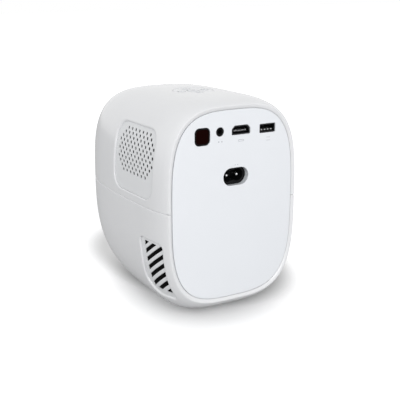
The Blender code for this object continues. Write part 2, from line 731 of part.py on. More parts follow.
def side_insert(name, side, outline_of):
    """A sunk cover in a side opening, with a flange that holds it behind the wall."""
    outline = outline_of(-GAP)
    wide = outline_of(FLANGE_RIM)
    reach = BODY_HALF_WIDTH + OVERRUN
    low = min(v for u, v in wide) - GAP
    high = max(v for u, v in wide) + GAP
    front = min(u for u, v in wide) - GAP
    rear = max(u for u, v in wide) + GAP
    span = sorted((side * REAR_HALF_WIDTH / 2, side * reach))
    cover = side_slab(name, side, (front, rear), (low, high), INSERT_SUNK, INSERT_BACK)
    keep_inside(cover, prism("trim", outline, "X", *span))
    flange = side_slab("flange", side, (front, rear), (low, high), WALL + 2 * GAP, FLANGE_BACK)
    keep_inside(flange, prism("trim", wide, "X", *span))
    return join(cover, flange)


def grille_outline(growth):
    """Outline of the speaker opening, grown by a clearance."""
    low = (GRILLE_FRONT_Y - growth, GRILLE_LOW_Z - growth)
    high = (GRILLE_REAR_Y + growth, GRILLE_HIGH_Z + growth)
    return rounded_box(low, high, [GRILLE_CORNER + growth] * 4)


def vent_outline(growth):
    """Outline of the vent opening, whose low front corner is the roundest."""
    low = (VENT_FRONT_Y - growth, VENT_LOW_Z - growth)
    high = (VENT_REAR_Y + growth, VENT_HIGH_Z + growth)
    small = VENT_CORNER + growth
    return rounded_box(low, high, [VENT_FRONT_CORNER + growth, small, small, small])


def clip(polygon, keep_side):
    """Cut a polygon along the line where the function keep_side is zero."""
    result = []
    for i, point in enumerate(polygon):
        following = polygon[(i + 1) % len(polygon)]
        a = keep_side(point)
        b = keep_side(following)
        if a >= 0:
            result.append(point)
        if a * b < 0:
            t = a / (a - b)
            result.append((point[0] + t * (following[0] - point[0]),
                           point[1] + t * (following[1] - point[1])))
    return result


def slot_outlines():
    """Slanted slots that rise towards the rear, cut off by the field's low and high edges."""
    outlines = []
    drop = (SLOT_REAR_Y - SLOT_FRONT_Y) * SLOT_SLOPE_share
    for k in range(SLOT_COUNT):
        top = SLOT_TOP_Z - k * SLOT_PITCH
        slot = [(SLOT_FRONT_Y, top - drop - SLOT_HEIGHT), (SLOT_REAR_Y, top - SLOT_HEIGHT),
                (SLOT_REAR_Y, top), (SLOT_FRONT_Y, top - drop)]
        slot = clip(slot, lambda p: SLOT_HIGH_Z - p[1])
        slot = clip(slot, lambda p: p[1] - SLOT_LOW_Z)
        if len(slot) > 2:
            outlines.append(slot)
    return outlines


def hole_outlines():
    """Staggered rows of small holes, each row centred on the grille."""
    outlines = []
    for k, count in enumerate(HOLE_ROWS):
        z = HOLE_TOP_ROW_Z - k * HOLE_ROW_PITCH
        for i in range(count):
            y = HOLE_CENTRE_Y + (i - (count - 1) / 2) * HOLE_COLUMN_PITCH
            outlines.append(circle((y, z), HOLE_RADIUS, HOLE_SIDES))
    return outlines


def foot_places():
    """Centres of the four feet."""
    x = PLINTH_HALF_WIDTH - FOOT_INSET
    front = -PLINTH_FRONT + FOOT_INSET
    rear = PLINTH_REAR - FOOT_INSET
    return {"foot_front_left": (-x, front), "foot_front_right": (x, front),
            "foot_rear_left": (-x, rear), "foot_rear_right": (x, rear)}


def upper_shell():
    """Upper half of the casing, with the key boss and the posts of the main board."""
    shell = half_shell("upper_shell", 1)
    reach = BODY_HALF_WIDTH + OVERRUN
    cut(shell, prism("opening", grille_outline(0.0), "X", -reach, reach))
    boss_radius = PAD_RADIUS + GAP + PAD_BOSS_RIM
    boss_top = body_z(boss_radius, PAD_Y, WALL / 2, 1)
    centre = (0.0, PAD_Y)
    join(shell, rod("boss", "Z", centre, boss_radius, PAD_BOSS_Z, boss_top))
    cut(shell, rod("recess", "Z", centre, PAD_RADIUS + GAP, PAD_FLOOR_Z, TOP_Z + OVERRUN))
    holes = [circle((x, PAD_Y + y), radius + GAP, SMALL_STEPS)
             for x, y, radius in KEY_POSITIONS.values()]
    cut(shell, prisms("holes", holes, "Z", PAD_BOSS_Z - OVERRUN, PAD_FLOOR_Z + OVERRUN))
    for side in (-1, 1):
        shift = side * KEY_POST_REACH / math.sqrt(2)
        place = (shift, PAD_Y + shift)
        join(shell, rod("post", "Z", place, KEY_POST_RADIUS, KEY_BOARD_TOP_Z + GAP,
                        PAD_BOSS_Z + PAD_FLOOR / 2, SMALL_STEPS))
    for x, y in board_post_places():
        top = body_z(x, y, WALL / 2, 1)
        low = MAIN_BOARD_Z + BOARD_THICKNESS + GAP
        join(shell, rod("post", "Z", (x, y), POST_RADIUS, low, top, SMALL_STEPS))
    return paint(shell, (0.86, 0.87, 0.90), 0.42)


def board_post_places():
    """Places of the four posts that carry the main board."""
    return [(side * BOARD_POST_X, y) for side in (-1, 1)
            for y in (MAIN_BOARD_FRONT_Y + POST_RADIUS, MAIN_BOARD_REAR_Y - BOARD_POST_INSET)]


def sink_post_places():
    """Places of the four posts under the heat sink."""
    x = SINK_HALF_WIDTH - SINK_POST_INSET
    front = BOX_FRONT_Y + BOX_WALL + SINK_POST_INSET
    rear = BOX_REAR_Y - BOX_WALL - SINK_POST_INSET
    return [(side * x, y) for side in (-1, 1) for y in (front, rear)]


def lower_shell():
    """Lower half of the casing, with its plinth, posts and threaded-socket boss."""
    shell = half_shell("lower_shell", -1)
    outline = rounded_box((-PLINTH_HALF_WIDTH, -PLINTH_FRONT), (PLINTH_HALF_WIDTH, PLINTH_REAR),
                          [PLINTH_CORNER] * 4)
    plinth = prism("plinth", outline, "Z", PLINTH_Z, PLINTH_Z + PLINTH_HEIGHT)
    cut(plinth, body_solid("hollow", WALL))
    join(shell, plinth)
    reach = BODY_HALF_WIDTH + OVERRUN
    cut(shell, prism("opening", vent_outline(0.0), "X", -reach, reach))
    for place in foot_places().values():
        cut(shell, rod("recess", "Z", place, FOOT_RADIUS + GAP, PLINTH_Z - OVERRUN,
                       PLINTH_Z + FOOT_SUNK))
    floor = PLINTH_Z + PLINTH_DROP
    for place in sink_post_places():
        join(shell, rod("post", "Z", place, SINK_POST_RADIUS,
                        body_z(*place, WALL / 2, -1), SINK_LOW_Z - GAP, SMALL_STEPS))
    fan_low = FAN_Z - FAN_HALF_WIDTH
    for side in (-1, 1):
        place = (side * FAN_POST_X, (FAN_FRONT_Y + FAN_REAR_Y) / 2)
        join(shell, rod("post", "Z", place, SINK_POST_RADIUS,
                        body_z(*place, WALL / 2, -1), fan_low - GAP, SMALL_STEPS))
    centre = (0.0, STAND_Y)
    nut_top = PLINTH_Z + GAP + STAND_NUT_HEIGHT + GAP
    bore = STAND_NUT_RADIUS + GAP
    join(shell, rod("boss", "Z", centre, bore + STAND_BOSS_WALL, floor + WALL / 2,
                    nut_top + STAND_BOSS_WALL))
    cut(shell, rod("bore", "Z", centre, bore, PLINTH_Z - OVERRUN, nut_top))
    return paint(shell, (0.84, 0.85, 0.87), 0.42)


def feet():
    """Four rubber pads let into the plinth."""
    top = PLINTH_Z + FOOT_SUNK - GAP
    profile = [(0.0, 0.0), (FOOT_RADIUS - FOOT_EDGE, 0.0), (FOOT_RADIUS, FOOT_EDGE),
               (FOOT_RADIUS, top), (0.0, top)]
    for name, place in foot_places().items():
        foot = turned(name, profile, "Z", place, SMALL_STEPS)
        paint(foot, (0.05, 0.05, 0.05), 0.8)


def stand_nut():
    """Brass threaded socket in the base."""
    low = PLINTH_Z + GAP
    nut = tube("stand_nut", "Z", (0.0, STAND_Y), STAND_BORE_RADIUS, STAND_NUT_RADIUS,
               low, low + STAND_NUT_HEIGHT)
    return paint(nut, (0.72, 0.53, 0.25), 0.35, 1.0)


def panel_rings(section_at, face, inner, swell):
    """Rings of a panel that swells gently from its edge to its face."""
    sign = 1 if face > inner else -1
    steps = ((0.0, inner), (0.0, face - sign * PANEL_PILLOW),
             (swell / 2, face - sign * PANEL_PILLOW / 3), (swell, face))
    return [body_ring(section_at(place), WALL + PANEL_GROOVE + extra, place)
            for extra, place in steps]


def video_outline(growth):
    """Outline of the video socket, whose two upper corners are cut off."""
    top = MAIN_BOARD_Z - GAP + growth
    low = MAIN_BOARD_Z - GAP - VIDEO_HEIGHT - growth
    half = VIDEO_HALF_WIDTH + growth
    cut_off = VIDEO_CHAMFER
    return [(VIDEO_X - half, low), (VIDEO_X + half, low), (VIDEO_X + half, top - cut_off),
            (VIDEO_X + half - cut_off, top), (VIDEO_X - half + cut_off, top),
            (VIDEO_X - half, top - cut_off)]


def data_outline(growth):
    """Outline of the data socket."""
    centre = (DATA_X, DATA_TOP_Z - DATA_HEIGHT / 2)
    return even_box(centre, DATA_HALF_WIDTH + growth, DATA_HEIGHT / 2 + growth, SOCKET_WALL, 2)


def inlet_outline(growth):
    """Stadium outline of the mains inlet's hole in the panel."""
    half_height = INLET_HOLE_HALF_HEIGHT + growth
    return even_box((INLET_X, INLET_Z), INLET_HOLE_HALF_WIDTH + growth, half_height,
                    half_height - STADIUM_FLAT, 6)


def power_post_places():
    """Places of the four standoffs of the power board."""
    x = POWER_BOARD_HALF_WIDTH - POWER_POST_INSET
    low = POWER_BOARD_LOW_Z + POWER_POST_INSET
    high = POWER_BOARD_HIGH_Z - POWER_POST_INSET
    return [(-x, low), (x, low), (-x, high), (x, high)]


def rear_panel():
    """Rear cover with the socket holes, the inlet's collar and the standoffs inside."""
    panel = loft("rear_panel", panel_rings(lambda place: REAR_Y, PANEL_BACK_Y, PANEL_INNER_Y,
                                           PANEL_PILLOW))
    collar_end = PANEL_BACK_Y - INLET_COLLAR_DEPTH
    inside = PANEL_INNER_Y + GAP
    join(panel, prism("collar", inlet_outline(INLET_COLLAR_WALL), "Y", collar_end, inside))
    for place in power_post_places():
        low = POWER_BOARD_Y + BOARD_THICKNESS + GAP
        join(panel, rod("post", "Y", place, POST_RADIUS, low, inside, SMALL_STEPS))
    holes = [video_outline(GAP), data_outline(GAP), inlet_outline(0.0),
             circle((SOUND_X, SOUND_Z), SOUND_RADIUS + GAP),
             even_box((SENSOR_X, SENSOR_Z), WINDOW_HALF_WIDTH + GAP, WINDOW_HALF_WIDTH + GAP,
                      WINDOW_CORNER)]
    cut(panel, prisms("holes", holes, "Y", collar_end - OVERRUN, REAR_Y + OVERRUN))
    return paint(panel, (0.88, 0.90, 0.94), 0.12)


def front_panel():
    """Front cover with the round lens opening."""
    widest = FACE_FRONT_Y + PANEL_PILLOW
    panel = loft("front_panel", panel_rings(lambda place: min(place, widest), FACE_FRONT_Y,
                                            FACE_INNER_Y, PANEL_PILLOW / 4))
    cut(panel, rod("opening", "Y", (0.0, LENS_Z), APERTURE_RADIUS, FRONT_Y - OVERRUN,
                   FACE_INNER_Y + OVERRUN, BORE_STEPS))
    return paint(panel, (0.88, 0.90, 0.94), 0.12)


def side_covers():
    """Speaker grilles and slotted vents for both sides."""
    reach = BODY_HALF_WIDTH + OVERRUN
    for word, side in (("left", -1), ("right", 1)):
        span = sorted((side * REAR_HALF_WIDTH / 2, side * reach))
        grille = side_insert("speaker_grille_" + word, side, grille_outline)
        cut(grille, prisms("holes", hole_outlines(), "X", *span))
        paint(grille, (0.82, 0.83, 0.85), 0.5)
        vent = side_insert("side_vent_" + word, side, vent_outline)
        cut(vent, prisms("slots", slot_outlines(), "X", *span))
        paint(vent, (0.80, 0.81, 0.83), 0.5)


def control_pad():
    """Sunk round plate round the keys."""
    low = PAD_FLOOR_Z + GAP
    pad = rod("control_pad", "Z", (0.0, PAD_Y), PAD_RADIUS, low, low + PAD_THICKNESS)
    holes = [circle((x, PAD_Y + y), radius + GAP, SMALL_STEPS)
             for x, y, radius in KEY_POSITIONS.values()]
    cut(pad, prisms("holes", holes, "Z", low - OVERRUN, low + PAD_THICKNESS + OVERRUN))
    return paint(pad, (0.80, 0.81, 0.83), 0.35)


def keys():
    """Five keys, each with a flange under the boss that keeps it in."""
    for name, (x, y, radius) in KEY_POSITIONS.items():
        top = TOP_Z - PAD_SUNK + KEY_PROUD
        high = PAD_BOSS_Z - GAP
        low = high - KEY_FLANGE
        wide = radius + KEY_FLANGE_RIM
        edge = KEY_PROUD / 2
        profile = [(0.0, low), (wide, low), (wide, high), (radius, high),
                   (radius, top - edge), (radius - edge, top), (0.0, top)]
        key = turned(name, profile, "Z", (x, PAD_Y + y), SMALL_STEPS)
        set_origin(key, (x, PAD_Y + y, top))
        paint(key, (0.62, 0.64, 0.67), 0.4)


def key_board():
    """Round board with one switch under each key."""
    low = KEY_BOARD_TOP_Z - BOARD_THICKNESS
    board = rod("key_board", "Z", (0.0, PAD_Y), KEY_BOARD_RADIUS, low, KEY_BOARD_TOP_Z)
    for x, y, radius in KEY_POSITIONS.values():
        join(board, rod("switch", "Z", (x, PAD_Y + y), SWITCH_RADIUS, low + BOARD_THICKNESS / 2,
                        KEY_BOARD_TOP_Z + SWITCH_HEIGHT, SCREW_STEPS))
    return paint(board, (0.05, 0.25, 0.12), 0.5)


def main_board():
    """Flat board that carries the sockets."""
    board = block("main_board", (-MAIN_BOARD_HALF_WIDTH, MAIN_BOARD_FRONT_Y, MAIN_BOARD_Z),
                  (MAIN_BOARD_HALF_WIDTH, MAIN_BOARD_REAR_Y, MAIN_BOARD_Z + BOARD_THICKNESS))
    return paint(board, (0.05, 0.25, 0.12), 0.5, 0.0, False)


def video_socket():
    """Metal shell of the video socket and the tongue in its lower half."""
    face = PANEL_BACK_Y - SOCKET_SUNK
    shell = prism("video_socket_shell", video_outline(0.0), "Y", face - VIDEO_DEPTH, face)
    floor = face - VIDEO_DEPTH + SOCKET_FLOOR
    cut(shell, prism("cavity", video_outline(-SOCKET_WALL), "Y", floor, face + OVERRUN))
    paint(shell, (0.75, 0.75, 0.76), 0.3, 1.0, False)
    low = MAIN_BOARD_Z - GAP - VIDEO_HEIGHT + SOCKET_WALL + TONGUE_RISE
    tongue = block("video_socket_tongue", (VIDEO_X - VIDEO_TONGUE_HALF_WIDTH, floor + GAP, low),
                   (VIDEO_X + VIDEO_TONGUE_HALF_WIDTH, face - TONGUE_SUNK, low + TONGUE_HEIGHT))
    paint(tongue, (0.05, 0.05, 0.05), 0.5, 0.0, False)


def data_socket():
    """Metal shell of the data socket with its two legs, and the tongue inside."""
    face = PANEL_BACK_Y - SOCKET_SUNK
    floor = face - DATA_DEPTH + SOCKET_FLOOR
    shell = prism("data_socket_shell", data_outline(0.0), "Y", face - DATA_DEPTH, face)
    for side in (-1, 1):
        inner = DATA_X + side * (DATA_HALF_WIDTH - SOCKET_WALL)
        outer = DATA_X + side * (DATA_HALF_WIDTH - SOCKET_WALL - DATA_LEG_WIDTH)
        low_x, high_x = sorted((inner, outer))
        join(shell, block("leg", (low_x, floor, DATA_TOP_Z - SOCKET_WALL / 2),
                          (high_x, MAIN_BOARD_REAR_Y - SOCKET_FLOOR, MAIN_BOARD_Z - GAP)))
    centre = (DATA_X, DATA_TOP_Z - DATA_HEIGHT / 2)
    inside = even_box(centre, DATA_HALF_WIDTH - SOCKET_WALL, DATA_HEIGHT / 2 - SOCKET_WALL,
                      SOCKET_WALL / 2, 1)
    cut(shell, prism("cavity", inside, "Y", floor, face + OVERRUN))
    paint(shell, (0.75, 0.75, 0.76), 0.3, 1.0, False)
    low = DATA_TOP_Z - DATA_HEIGHT + SOCKET_WALL + GAP
    tongue = block("data_socket_tongue", (DATA_X - DATA_TONGUE_HALF_WIDTH, floor + GAP, low),
                   (DATA_X + DATA_TONGUE_HALF_WIDTH, face - TONGUE_SUNK, low + TONGUE_HEIGHT))
    paint(tongue, (0.05, 0.05, 0.05), 0.5, 0.0, False)


def sound_jack():
    """Round jack for sound, with its square body behind the panel."""
    face = PANEL_INNER_Y - GAP
    top = MAIN_BOARD_Z - GAP
    low = SOUND_Z - (top - SOUND_Z)
    jack = block("sound_jack", (SOUND_X - SOUND_BODY_HALF_WIDTH, face - SOUND_BODY_DEPTH, low),
                 (SOUND_X + SOUND_BODY_HALF_WIDTH, face, top))
    centre = (SOUND_X, SOUND_Z)
    join(jack, rod("collar", "Y", centre, SOUND_RADIUS, face - GAP, PANEL_BACK_Y - GAP))
    cut(jack, rod("bore", "Y", centre, SOUND_BORE_RADIUS, face - SOUND_BODY_DEPTH + SOCKET_FLOOR,
                  PANEL_BACK_Y + OVERRUN, CAN_STEPS))
    return paint(jack, (0.06, 0.06, 0.06), 0.4)


def remote_sensor():
    """Dark window in the panel and the receiver behind it."""
    back = PANEL_BACK_Y - GAP / 2
    outline = even_box((SENSOR_X, SENSOR_Z), WINDOW_HALF_WIDTH, WINDOW_HALF_WIDTH,
                       WINDOW_CORNER - GAP)
    window = prism("remote_window", outline, "Y", back - WINDOW_THICKNESS, back)
    paint(window, (0.03, 0.008, 0.006), 0.08)
    rear = MAIN_BOARD_REAR_Y - SENSOR_DOME_REACH
    top = MAIN_BOARD_Z - GAP
    middle = (top + SENSOR_Z - SENSOR_HALF_WIDTH) / 2
    receiver = block("remote_receiver",
                     (SENSOR_X - SENSOR_HALF_WIDTH, rear - SENSOR_DEPTH, SENSOR_Z - SENSOR_HALF_WIDTH),
                     (SENSOR_X + SENSOR_HALF_WIDTH, rear, top))
    dome = [(0.0, rear - GAP), (SENSOR_DOME_RADIUS, rear - GAP), (SENSOR_DOME_RADIUS, rear + GAP),
            (SENSOR_DOME_RADIUS / 2, rear + SENSOR_DOME_REACH), (0.0, rear + SENSOR_DOME_REACH)]
    join(receiver, turned("dome", dome, "Y", (SENSOR_X, middle), SMALL_STEPS))
    return paint(receiver, (0.03, 0.02, 0.03), 0.2)


def mains_inlet():
    """Inlet body behind the panel's collar and its two contact pins."""
    front = PANEL_BACK_Y - INLET_COLLAR_DEPTH - GAP
    half_width = INLET_CAVITY_HALF_WIDTH + INLET_BODY_WALL
    half_height = INLET_CAVITY_HALF_HEIGHT + INLET_BODY_WALL
    centre = (INLET_X, INLET_Z)
    body = prism("mains_inlet", even_box(centre, half_width, half_height, INLET_BODY_WALL, 3), "Y",
                 front - INLET_BODY_DEPTH, front)
    floor = front - INLET_CAVITY_DEPTH
    cavity = even_box(centre, INLET_CAVITY_HALF_WIDTH, INLET_CAVITY_HALF_HEIGHT,
                      INLET_CAVITY_HALF_HEIGHT - STADIUM_FLAT, 6)
    cut(body, prism("cavity", cavity, "Y", floor, front + OVERRUN))
    paint(body, (0.02, 0.02, 0.02), 0.45)
    tip = PANEL_BACK_Y - PIN_TIP_SUNK
    for word, side in (("left", -1), ("right", 1)):
        profile = [(0.0, floor + GAP), (PIN_RADIUS, floor + GAP), (PIN_RADIUS, tip - PIN_RADIUS),
                   (PIN_RADIUS / 2, tip), (0.0, tip)]
        place = (INLET_X + side * PIN_SPACING / 2, INLET_Z)
        pin = turned("inlet_pin_" + word, profile, "Y", place, SMALL_STEPS)
        paint(pin, (0.78, 0.78, 0.78), 0.25, 1.0)


def power_supply():
    """Power board, its transformer and its large capacitor."""
    board = block("power_board", (-POWER_BOARD_HALF_WIDTH, POWER_BOARD_Y, POWER_BOARD_LOW_Z),
                  (POWER_BOARD_HALF_WIDTH, POWER_BOARD_Y + BOARD_THICKNESS, POWER_BOARD_HIGH_Z))
    paint(board, (0.35, 0.28, 0.12), 0.6, 0.0, False)
    middle = (POWER_BOARD_LOW_Z + POWER_BOARD_HIGH_Z) / 2
    rear = POWER_BOARD_Y - GAP
    core = block("transformer",
                 (TRANSFORMER_X - TRANSFORMER_HALF_WIDTH, rear - TRANSFORMER_DEPTH,
                  middle - TRANSFORMER_HALF_HEIGHT),
                 (TRANSFORMER_X + TRANSFORMER_HALF_WIDTH, rear, middle + TRANSFORMER_HALF_HEIGHT))
    paint(core, (0.65, 0.55, 0.12), 0.5, 0.0, False)
    can = rod("capacitor", "Y", (CAPACITOR_X, middle), CAPACITOR_RADIUS, rear - TRANSFORMER_DEPTH,
              rear, CAN_STEPS)
    paint(can, (0.05, 0.06, 0.12), 0.4)


def slope_z(y):
    """Height of the inner face of the optical box's sloping rear wall."""
    depth = BOX_REAR_Y - BOX_FRONT_Y
    fall = (y - BOX_FRONT_Y) * MIRROR_RISE / depth
    return BOX_TOP_Z - fall - BOX_WALL * math.hypot(depth, MIRROR_RISE) / depth


def optical_box():
    """Light box with a sloping rear wall, open below and towards the lens."""
    outer = [(BOX_FRONT_Y, BOX_LOW_Z), (BOX_REAR_Y, BOX_LOW_Z), (BOX_REAR_Y, BOX_REAR_TOP_Z),
             (BOX_FRONT_Y, BOX_TOP_Z)]
    box = prism("optical_box", outer, "X", -BOX_HALF_WIDTH, BOX_HALF_WIDTH)
    front = BOX_FRONT_Y + BOX_WALL
    rear = BOX_REAR_Y - BOX_WALL
    start = Vector((rear, slope_z(rear)))
    end = Vector((front, slope_z(front)))
    inner = [(front, BOX_LOW_Z - OVERRUN), (rear, BOX_LOW_Z - OVERRUN), tuple(start), tuple(end)]
    half = BOX_HALF_WIDTH - BOX_WALL
    cut(box, prism("cavity", inner, "X", -half, half))
    cut(box, rod("opening", "Y", (0.0, LENS_Z), LIGHT_HOLE_RADIUS, BOX_FRONT_Y - OVERRUN,
                 front + OVERRUN))
    pilots = [circle(place, SCREW_RADIUS + GAP, SCREW_STEPS) for place in screw_places()]
    cut(box, prisms("pilots", pilots, "Y", BOX_FRONT_Y - OVERRUN, front + OVERRUN))
    paint(box, (0.04, 0.04, 0.045), 0.6, 0.0, False)
    along = (end - start).normalized()
    inward = Vector((-along.y, along.x))
    margin = MIRROR_THICKNESS + MIRROR_MARGIN
    low_end = start + along * margin + inward * GAP
    high_end = end - along * margin + inward * GAP
    outline = [low_end, high_end, high_end + inward * MIRROR_THICKNESS,
               low_end + inward * MIRROR_THICKNESS]
    mirror = prism("mirror", [tuple(p) for p in outline], "X", -half + GAP, half - GAP)
    paint(mirror, (0.9, 0.9, 0.92), 0.03, 1.0, False)
    plates = (("lower_fresnel", LOWER_FRESNEL_Z, (0.75, 0.80, 0.82), 0.1),
              ("image_plate", IMAGE_PLATE_Z, (0.02, 0.02, 0.03), 0.1),
              ("upper_fresnel", UPPER_FRESNEL_Z, (0.75, 0.80, 0.82), 0.1))
    for name, low, colour, roughness in plates:
        plate = block(name, (-half + GAP, front + GAP, low),
                      (half - GAP, rear - GAP, low + PLATE_THICKNESS))
        paint(plate, colour, roughness, 0.0, False)


def light_source():
    """Light board, emitter, funnel and condenser lens at the foot of the optical box."""
    centre = (0.0, BOX_MID_Y)
    half = LIGHT_BOARD_HALF_WIDTH
    board = block("light_board", (-half, BOX_MID_Y - half, BOX_LOW_Z),
                  (half, BOX_MID_Y + half, BOX_LOW_Z + BOARD_THICKNESS))
    paint(board, (0.8, 0.8, 0.78), 0.4, 0.0, False)
    low = BOX_LOW_Z + BOARD_THICKNESS + GAP
    half = EMITTER_HALF_WIDTH
    emitter = block("light_emitter", (-half, BOX_MID_Y - half, low),
                    (half, BOX_MID_Y + half, low + EMITTER_HEIGHT))
    paint(emitter, (0.9, 0.8, 0.35), 0.3, 0.0, False)
    high = low + FUNNEL_HEIGHT
    profile = [(FUNNEL_LOW_RADIUS, low), (FUNNEL_LOW_RADIUS + FUNNEL_WALL, low),
               (FUNNEL_HIGH_RADIUS + FUNNEL_WALL, high), (FUNNEL_HIGH_RADIUS, high)]
    funnel = turned("light_funnel", profile, "Z", centre)
    paint(funnel, (0.85, 0.85, 0.86), 0.15, 1.0)
    edge = CONDENSER_Z + CONDENSER_EDGE
    profile = [(0.0, CONDENSER_Z), (CONDENSER_RADIUS, CONDENSER_Z), (CONDENSER_RADIUS, edge)]
    profile += [(CONDENSER_RADIUS * r, edge + CONDENSER_DOME * h) for r, h in CONDENSER_DOME_shares]
    profile.append((0.0, edge + CONDENSER_DOME))
    lens = turned("condenser_lens", profile, "Z", centre)
    paint(lens, (0.85, 0.9, 0.9), 0.03)


def heat_sink():
    """Finned block that carries the optical box."""
    front, rear = BOX_FRONT_Y + BOX_WALL, BOX_REAR_Y - BOX_WALL
    high = BOX_LOW_Z - GAP
    sink = block("heat_sink", (-SINK_HALF_WIDTH, front, high - SINK_BASE),
                 (SINK_HALF_WIDTH, rear, high))
    spacing = (2 * SINK_HALF_WIDTH - SINK_FIN) / (SINK_FINS - 1)
    for k in range(SINK_FINS):
        x = -SINK_HALF_WIDTH + k * spacing
        join(sink, block("fin", (x, front, SINK_LOW_Z),
                         (x + SINK_FIN, rear, high - SINK_BASE / 2)))
    return paint(sink, (0.75, 0.76, 0.78), 0.35, 1.0, False)


def fan():
    """Square fan frame with spokes, and the bladed rotor that turns in it."""
    centre = (0.0, FAN_Z)
    frame = prism("fan_frame", even_box(centre, FAN_HALF_WIDTH, FAN_HALF_WIDTH, FAN_CORNER, 2), "Y",
                  FAN_FRONT_Y, FAN_REAR_Y)
    cut(frame, rod("duct", "Y", centre, FAN_DUCT_RADIUS, FAN_FRONT_Y - OVERRUN,
                   FAN_REAR_Y + OVERRUN))
    back = FAN_REAR_Y - FAN_BACK
    holder = rod("holder", "Y", centre, FAN_HUB_RADIUS, back, FAN_REAR_Y - GAP)
    for k in range(FAN_SPOKES):
        spoke = block("spoke", (-FAN_SPOKE / 2, back + GAP / 2, 0.0),
                      (FAN_SPOKE / 2, FAN_REAR_Y - GAP - GAP / 2, FAN_DUCT_RADIUS + OVERRUN / 2))
        spoke.data.transform(Matrix.Rotation(2 * math.pi * k / FAN_SPOKES, 4, "Y"))
        spoke.data.transform(Matrix.Translation((0.0, 0.0, FAN_Z)))
        join(holder, spoke)
    join(frame, holder)
    paint(frame, (0.03, 0.03, 0.03), 0.5)
    front = FAN_FRONT_Y + FAN_INTAKE_GAP
    rear = back - GAP
    rotor = rod("fan_rotor", "Y", (0.0, 0.0), FAN_HUB_RADIUS, front, rear)
    tip = FAN_DUCT_RADIUS - FAN_BLADE_TIP_GAP
    root = FAN_HUB_RADIUS - OVERRUN
    depth = (rear - front) / 2 - GAP
    middle = (front + rear) / 2
    for k in range(FAN_BLADES):
        rings = []
        for radius, pitch in ((root, FAN_ROOT_PITCH), (tip, FAN_TIP_PITCH)):
            run = Vector((math.sin(pitch), math.cos(pitch))) * depth
            side = Vector((run.y, -run.x)).normalized() * FAN_BLADE_THICKNESS / 2
            corners = [-run - side, run - side, run + side, -run + side]
            rings.append(np.array([(p.x, middle + p.y, radius) for p in corners]))
        blade = loft("blade", rings)
        blade.data.transform(Matrix.Rotation(2 * math.pi * k / FAN_BLADES, 4, "Y"))
        join(rotor, blade)
    rotor.data.transform(Matrix.Translation((0.0, 0.0, FAN_Z)))
    set_origin(rotor, (0.0, middle, FAN_Z))
    return paint(rotor, (0.04, 0.04, 0.04), 0.45)


def screw_places():
    """Places of the four screws of the lens mount."""
    reach = MOUNT_HALF_WIDTH - SCREW_INSET
    return [(x, LENS_Z + z) for x in (-reach, reach) for z in (-reach, reach)]


def lens_mount():
    """Flange on the optical box with the tube that guides the lens barrel."""
    centre = (0.0, LENS_Z)
    mount = prism("lens_mount", even_box(centre, MOUNT_HALF_WIDTH, MOUNT_HALF_WIDTH, SCREW_INSET, 3),
                  "Y", MOUNT_FACE_Y, MOUNT_REAR_Y)
    join(mount, rod("tube", "Y", centre, MOUNT_TUBE_RADIUS, MOUNT_FRONT_Y,
                    MOUNT_REAR_Y - MOUNT_FLANGE / 2, BORE_STEPS))
    cut(mount, rod("bore", "Y", centre, MOUNT_BORE_RADIUS, MOUNT_FRONT_Y - OVERRUN,
                   MOUNT_REAR_Y + OVERRUN, BORE_STEPS))
    half = FOCUS_PIN_RADIUS + GAP
    cut(mount, block("slot", (-half, FOCUS_PIN_Y - FOCUS_TRAVEL - half, LENS_Z),
                     (half, FOCUS_PIN_Y + half, LENS_Z + RING_BORE_RADIUS + OVERRUN)))
    holes = [circle(place, SCREW_RADIUS + GAP, SCREW_STEPS) for place in screw_places()]
    cut(mount, prisms("holes", holes, "Y", MOUNT_FACE_Y - OVERRUN, MOUNT_REAR_Y + OVERRUN))
    paint(mount, (0.03, 0.03, 0.03), 0.45)
    for k, place in enumerate(screw_places()):
        head = MOUNT_FACE_Y - GAP
        profile = [(0.0, head - SCREW_HEAD), (SCREW_HEAD_RADIUS, head - SCREW_HEAD),
                   (SCREW_HEAD_RADIUS, head), (SCREW_RADIUS, head),
                   (SCREW_RADIUS, head + SCREW_LENGTH), (0.0, head + SCREW_LENGTH)]
        screw = turned("lens_screw_%d" % (k + 1), profile, "Y", place, SCREW_STEPS)
        paint(screw, (0.5, 0.5, 0.52), 0.3, 1.0, False)


def lens_barrel():
    """Sliding barrel with the pin that follows the groove of the focus ring."""
    centre = (0.0, LENS_Z)
    bore = BARREL_RADIUS - BARREL_WALL
    barrel = tube("lens_barrel", "Y", centre, bore, BARREL_RADIUS, BARREL_FRONT_Y, BARREL_REAR_Y,
                  BORE_STEPS)
    pin_top = LENS_Z + RING_BORE_RADIUS + FOCUS_PIN_BITE
    join(barrel, rod("pin", "Z", (0.0, FOCUS_PIN_Y), FOCUS_PIN_RADIUS,
                     LENS_Z + BARREL_RADIUS - BARREL_WALL / 2, pin_top, PIN_STEPS))
    set_origin(barrel, (0.0, FOCUS_PIN_Y, LENS_Z))
    paint(barrel, (0.03, 0.03, 0.03), 0.4)
    for name, y in (("front_glass", FRONT_GLASS_Y), ("rear_glass", REAR_GLASS_Y)):
        radius = bore - GAP
        front = y - GLASS_EDGE / 2
        rear = y + GLASS_EDGE / 2
        profile = [(radius * r, front - GLASS_DOME * h) for r, h in GLASS_DOME_shares]
        profile += [(radius, front), (radius, rear)]
        profile += [(radius * r, rear + GLASS_DOME * h) for r, h in reversed(GLASS_DOME_shares)]
        glass = turned(name, profile, "Y", centre, ROUND_STEPS)
        set_origin(glass, (0.0, y, LENS_Z))
        paint(glass, (0.35, 0.38, 0.45), 0.02)


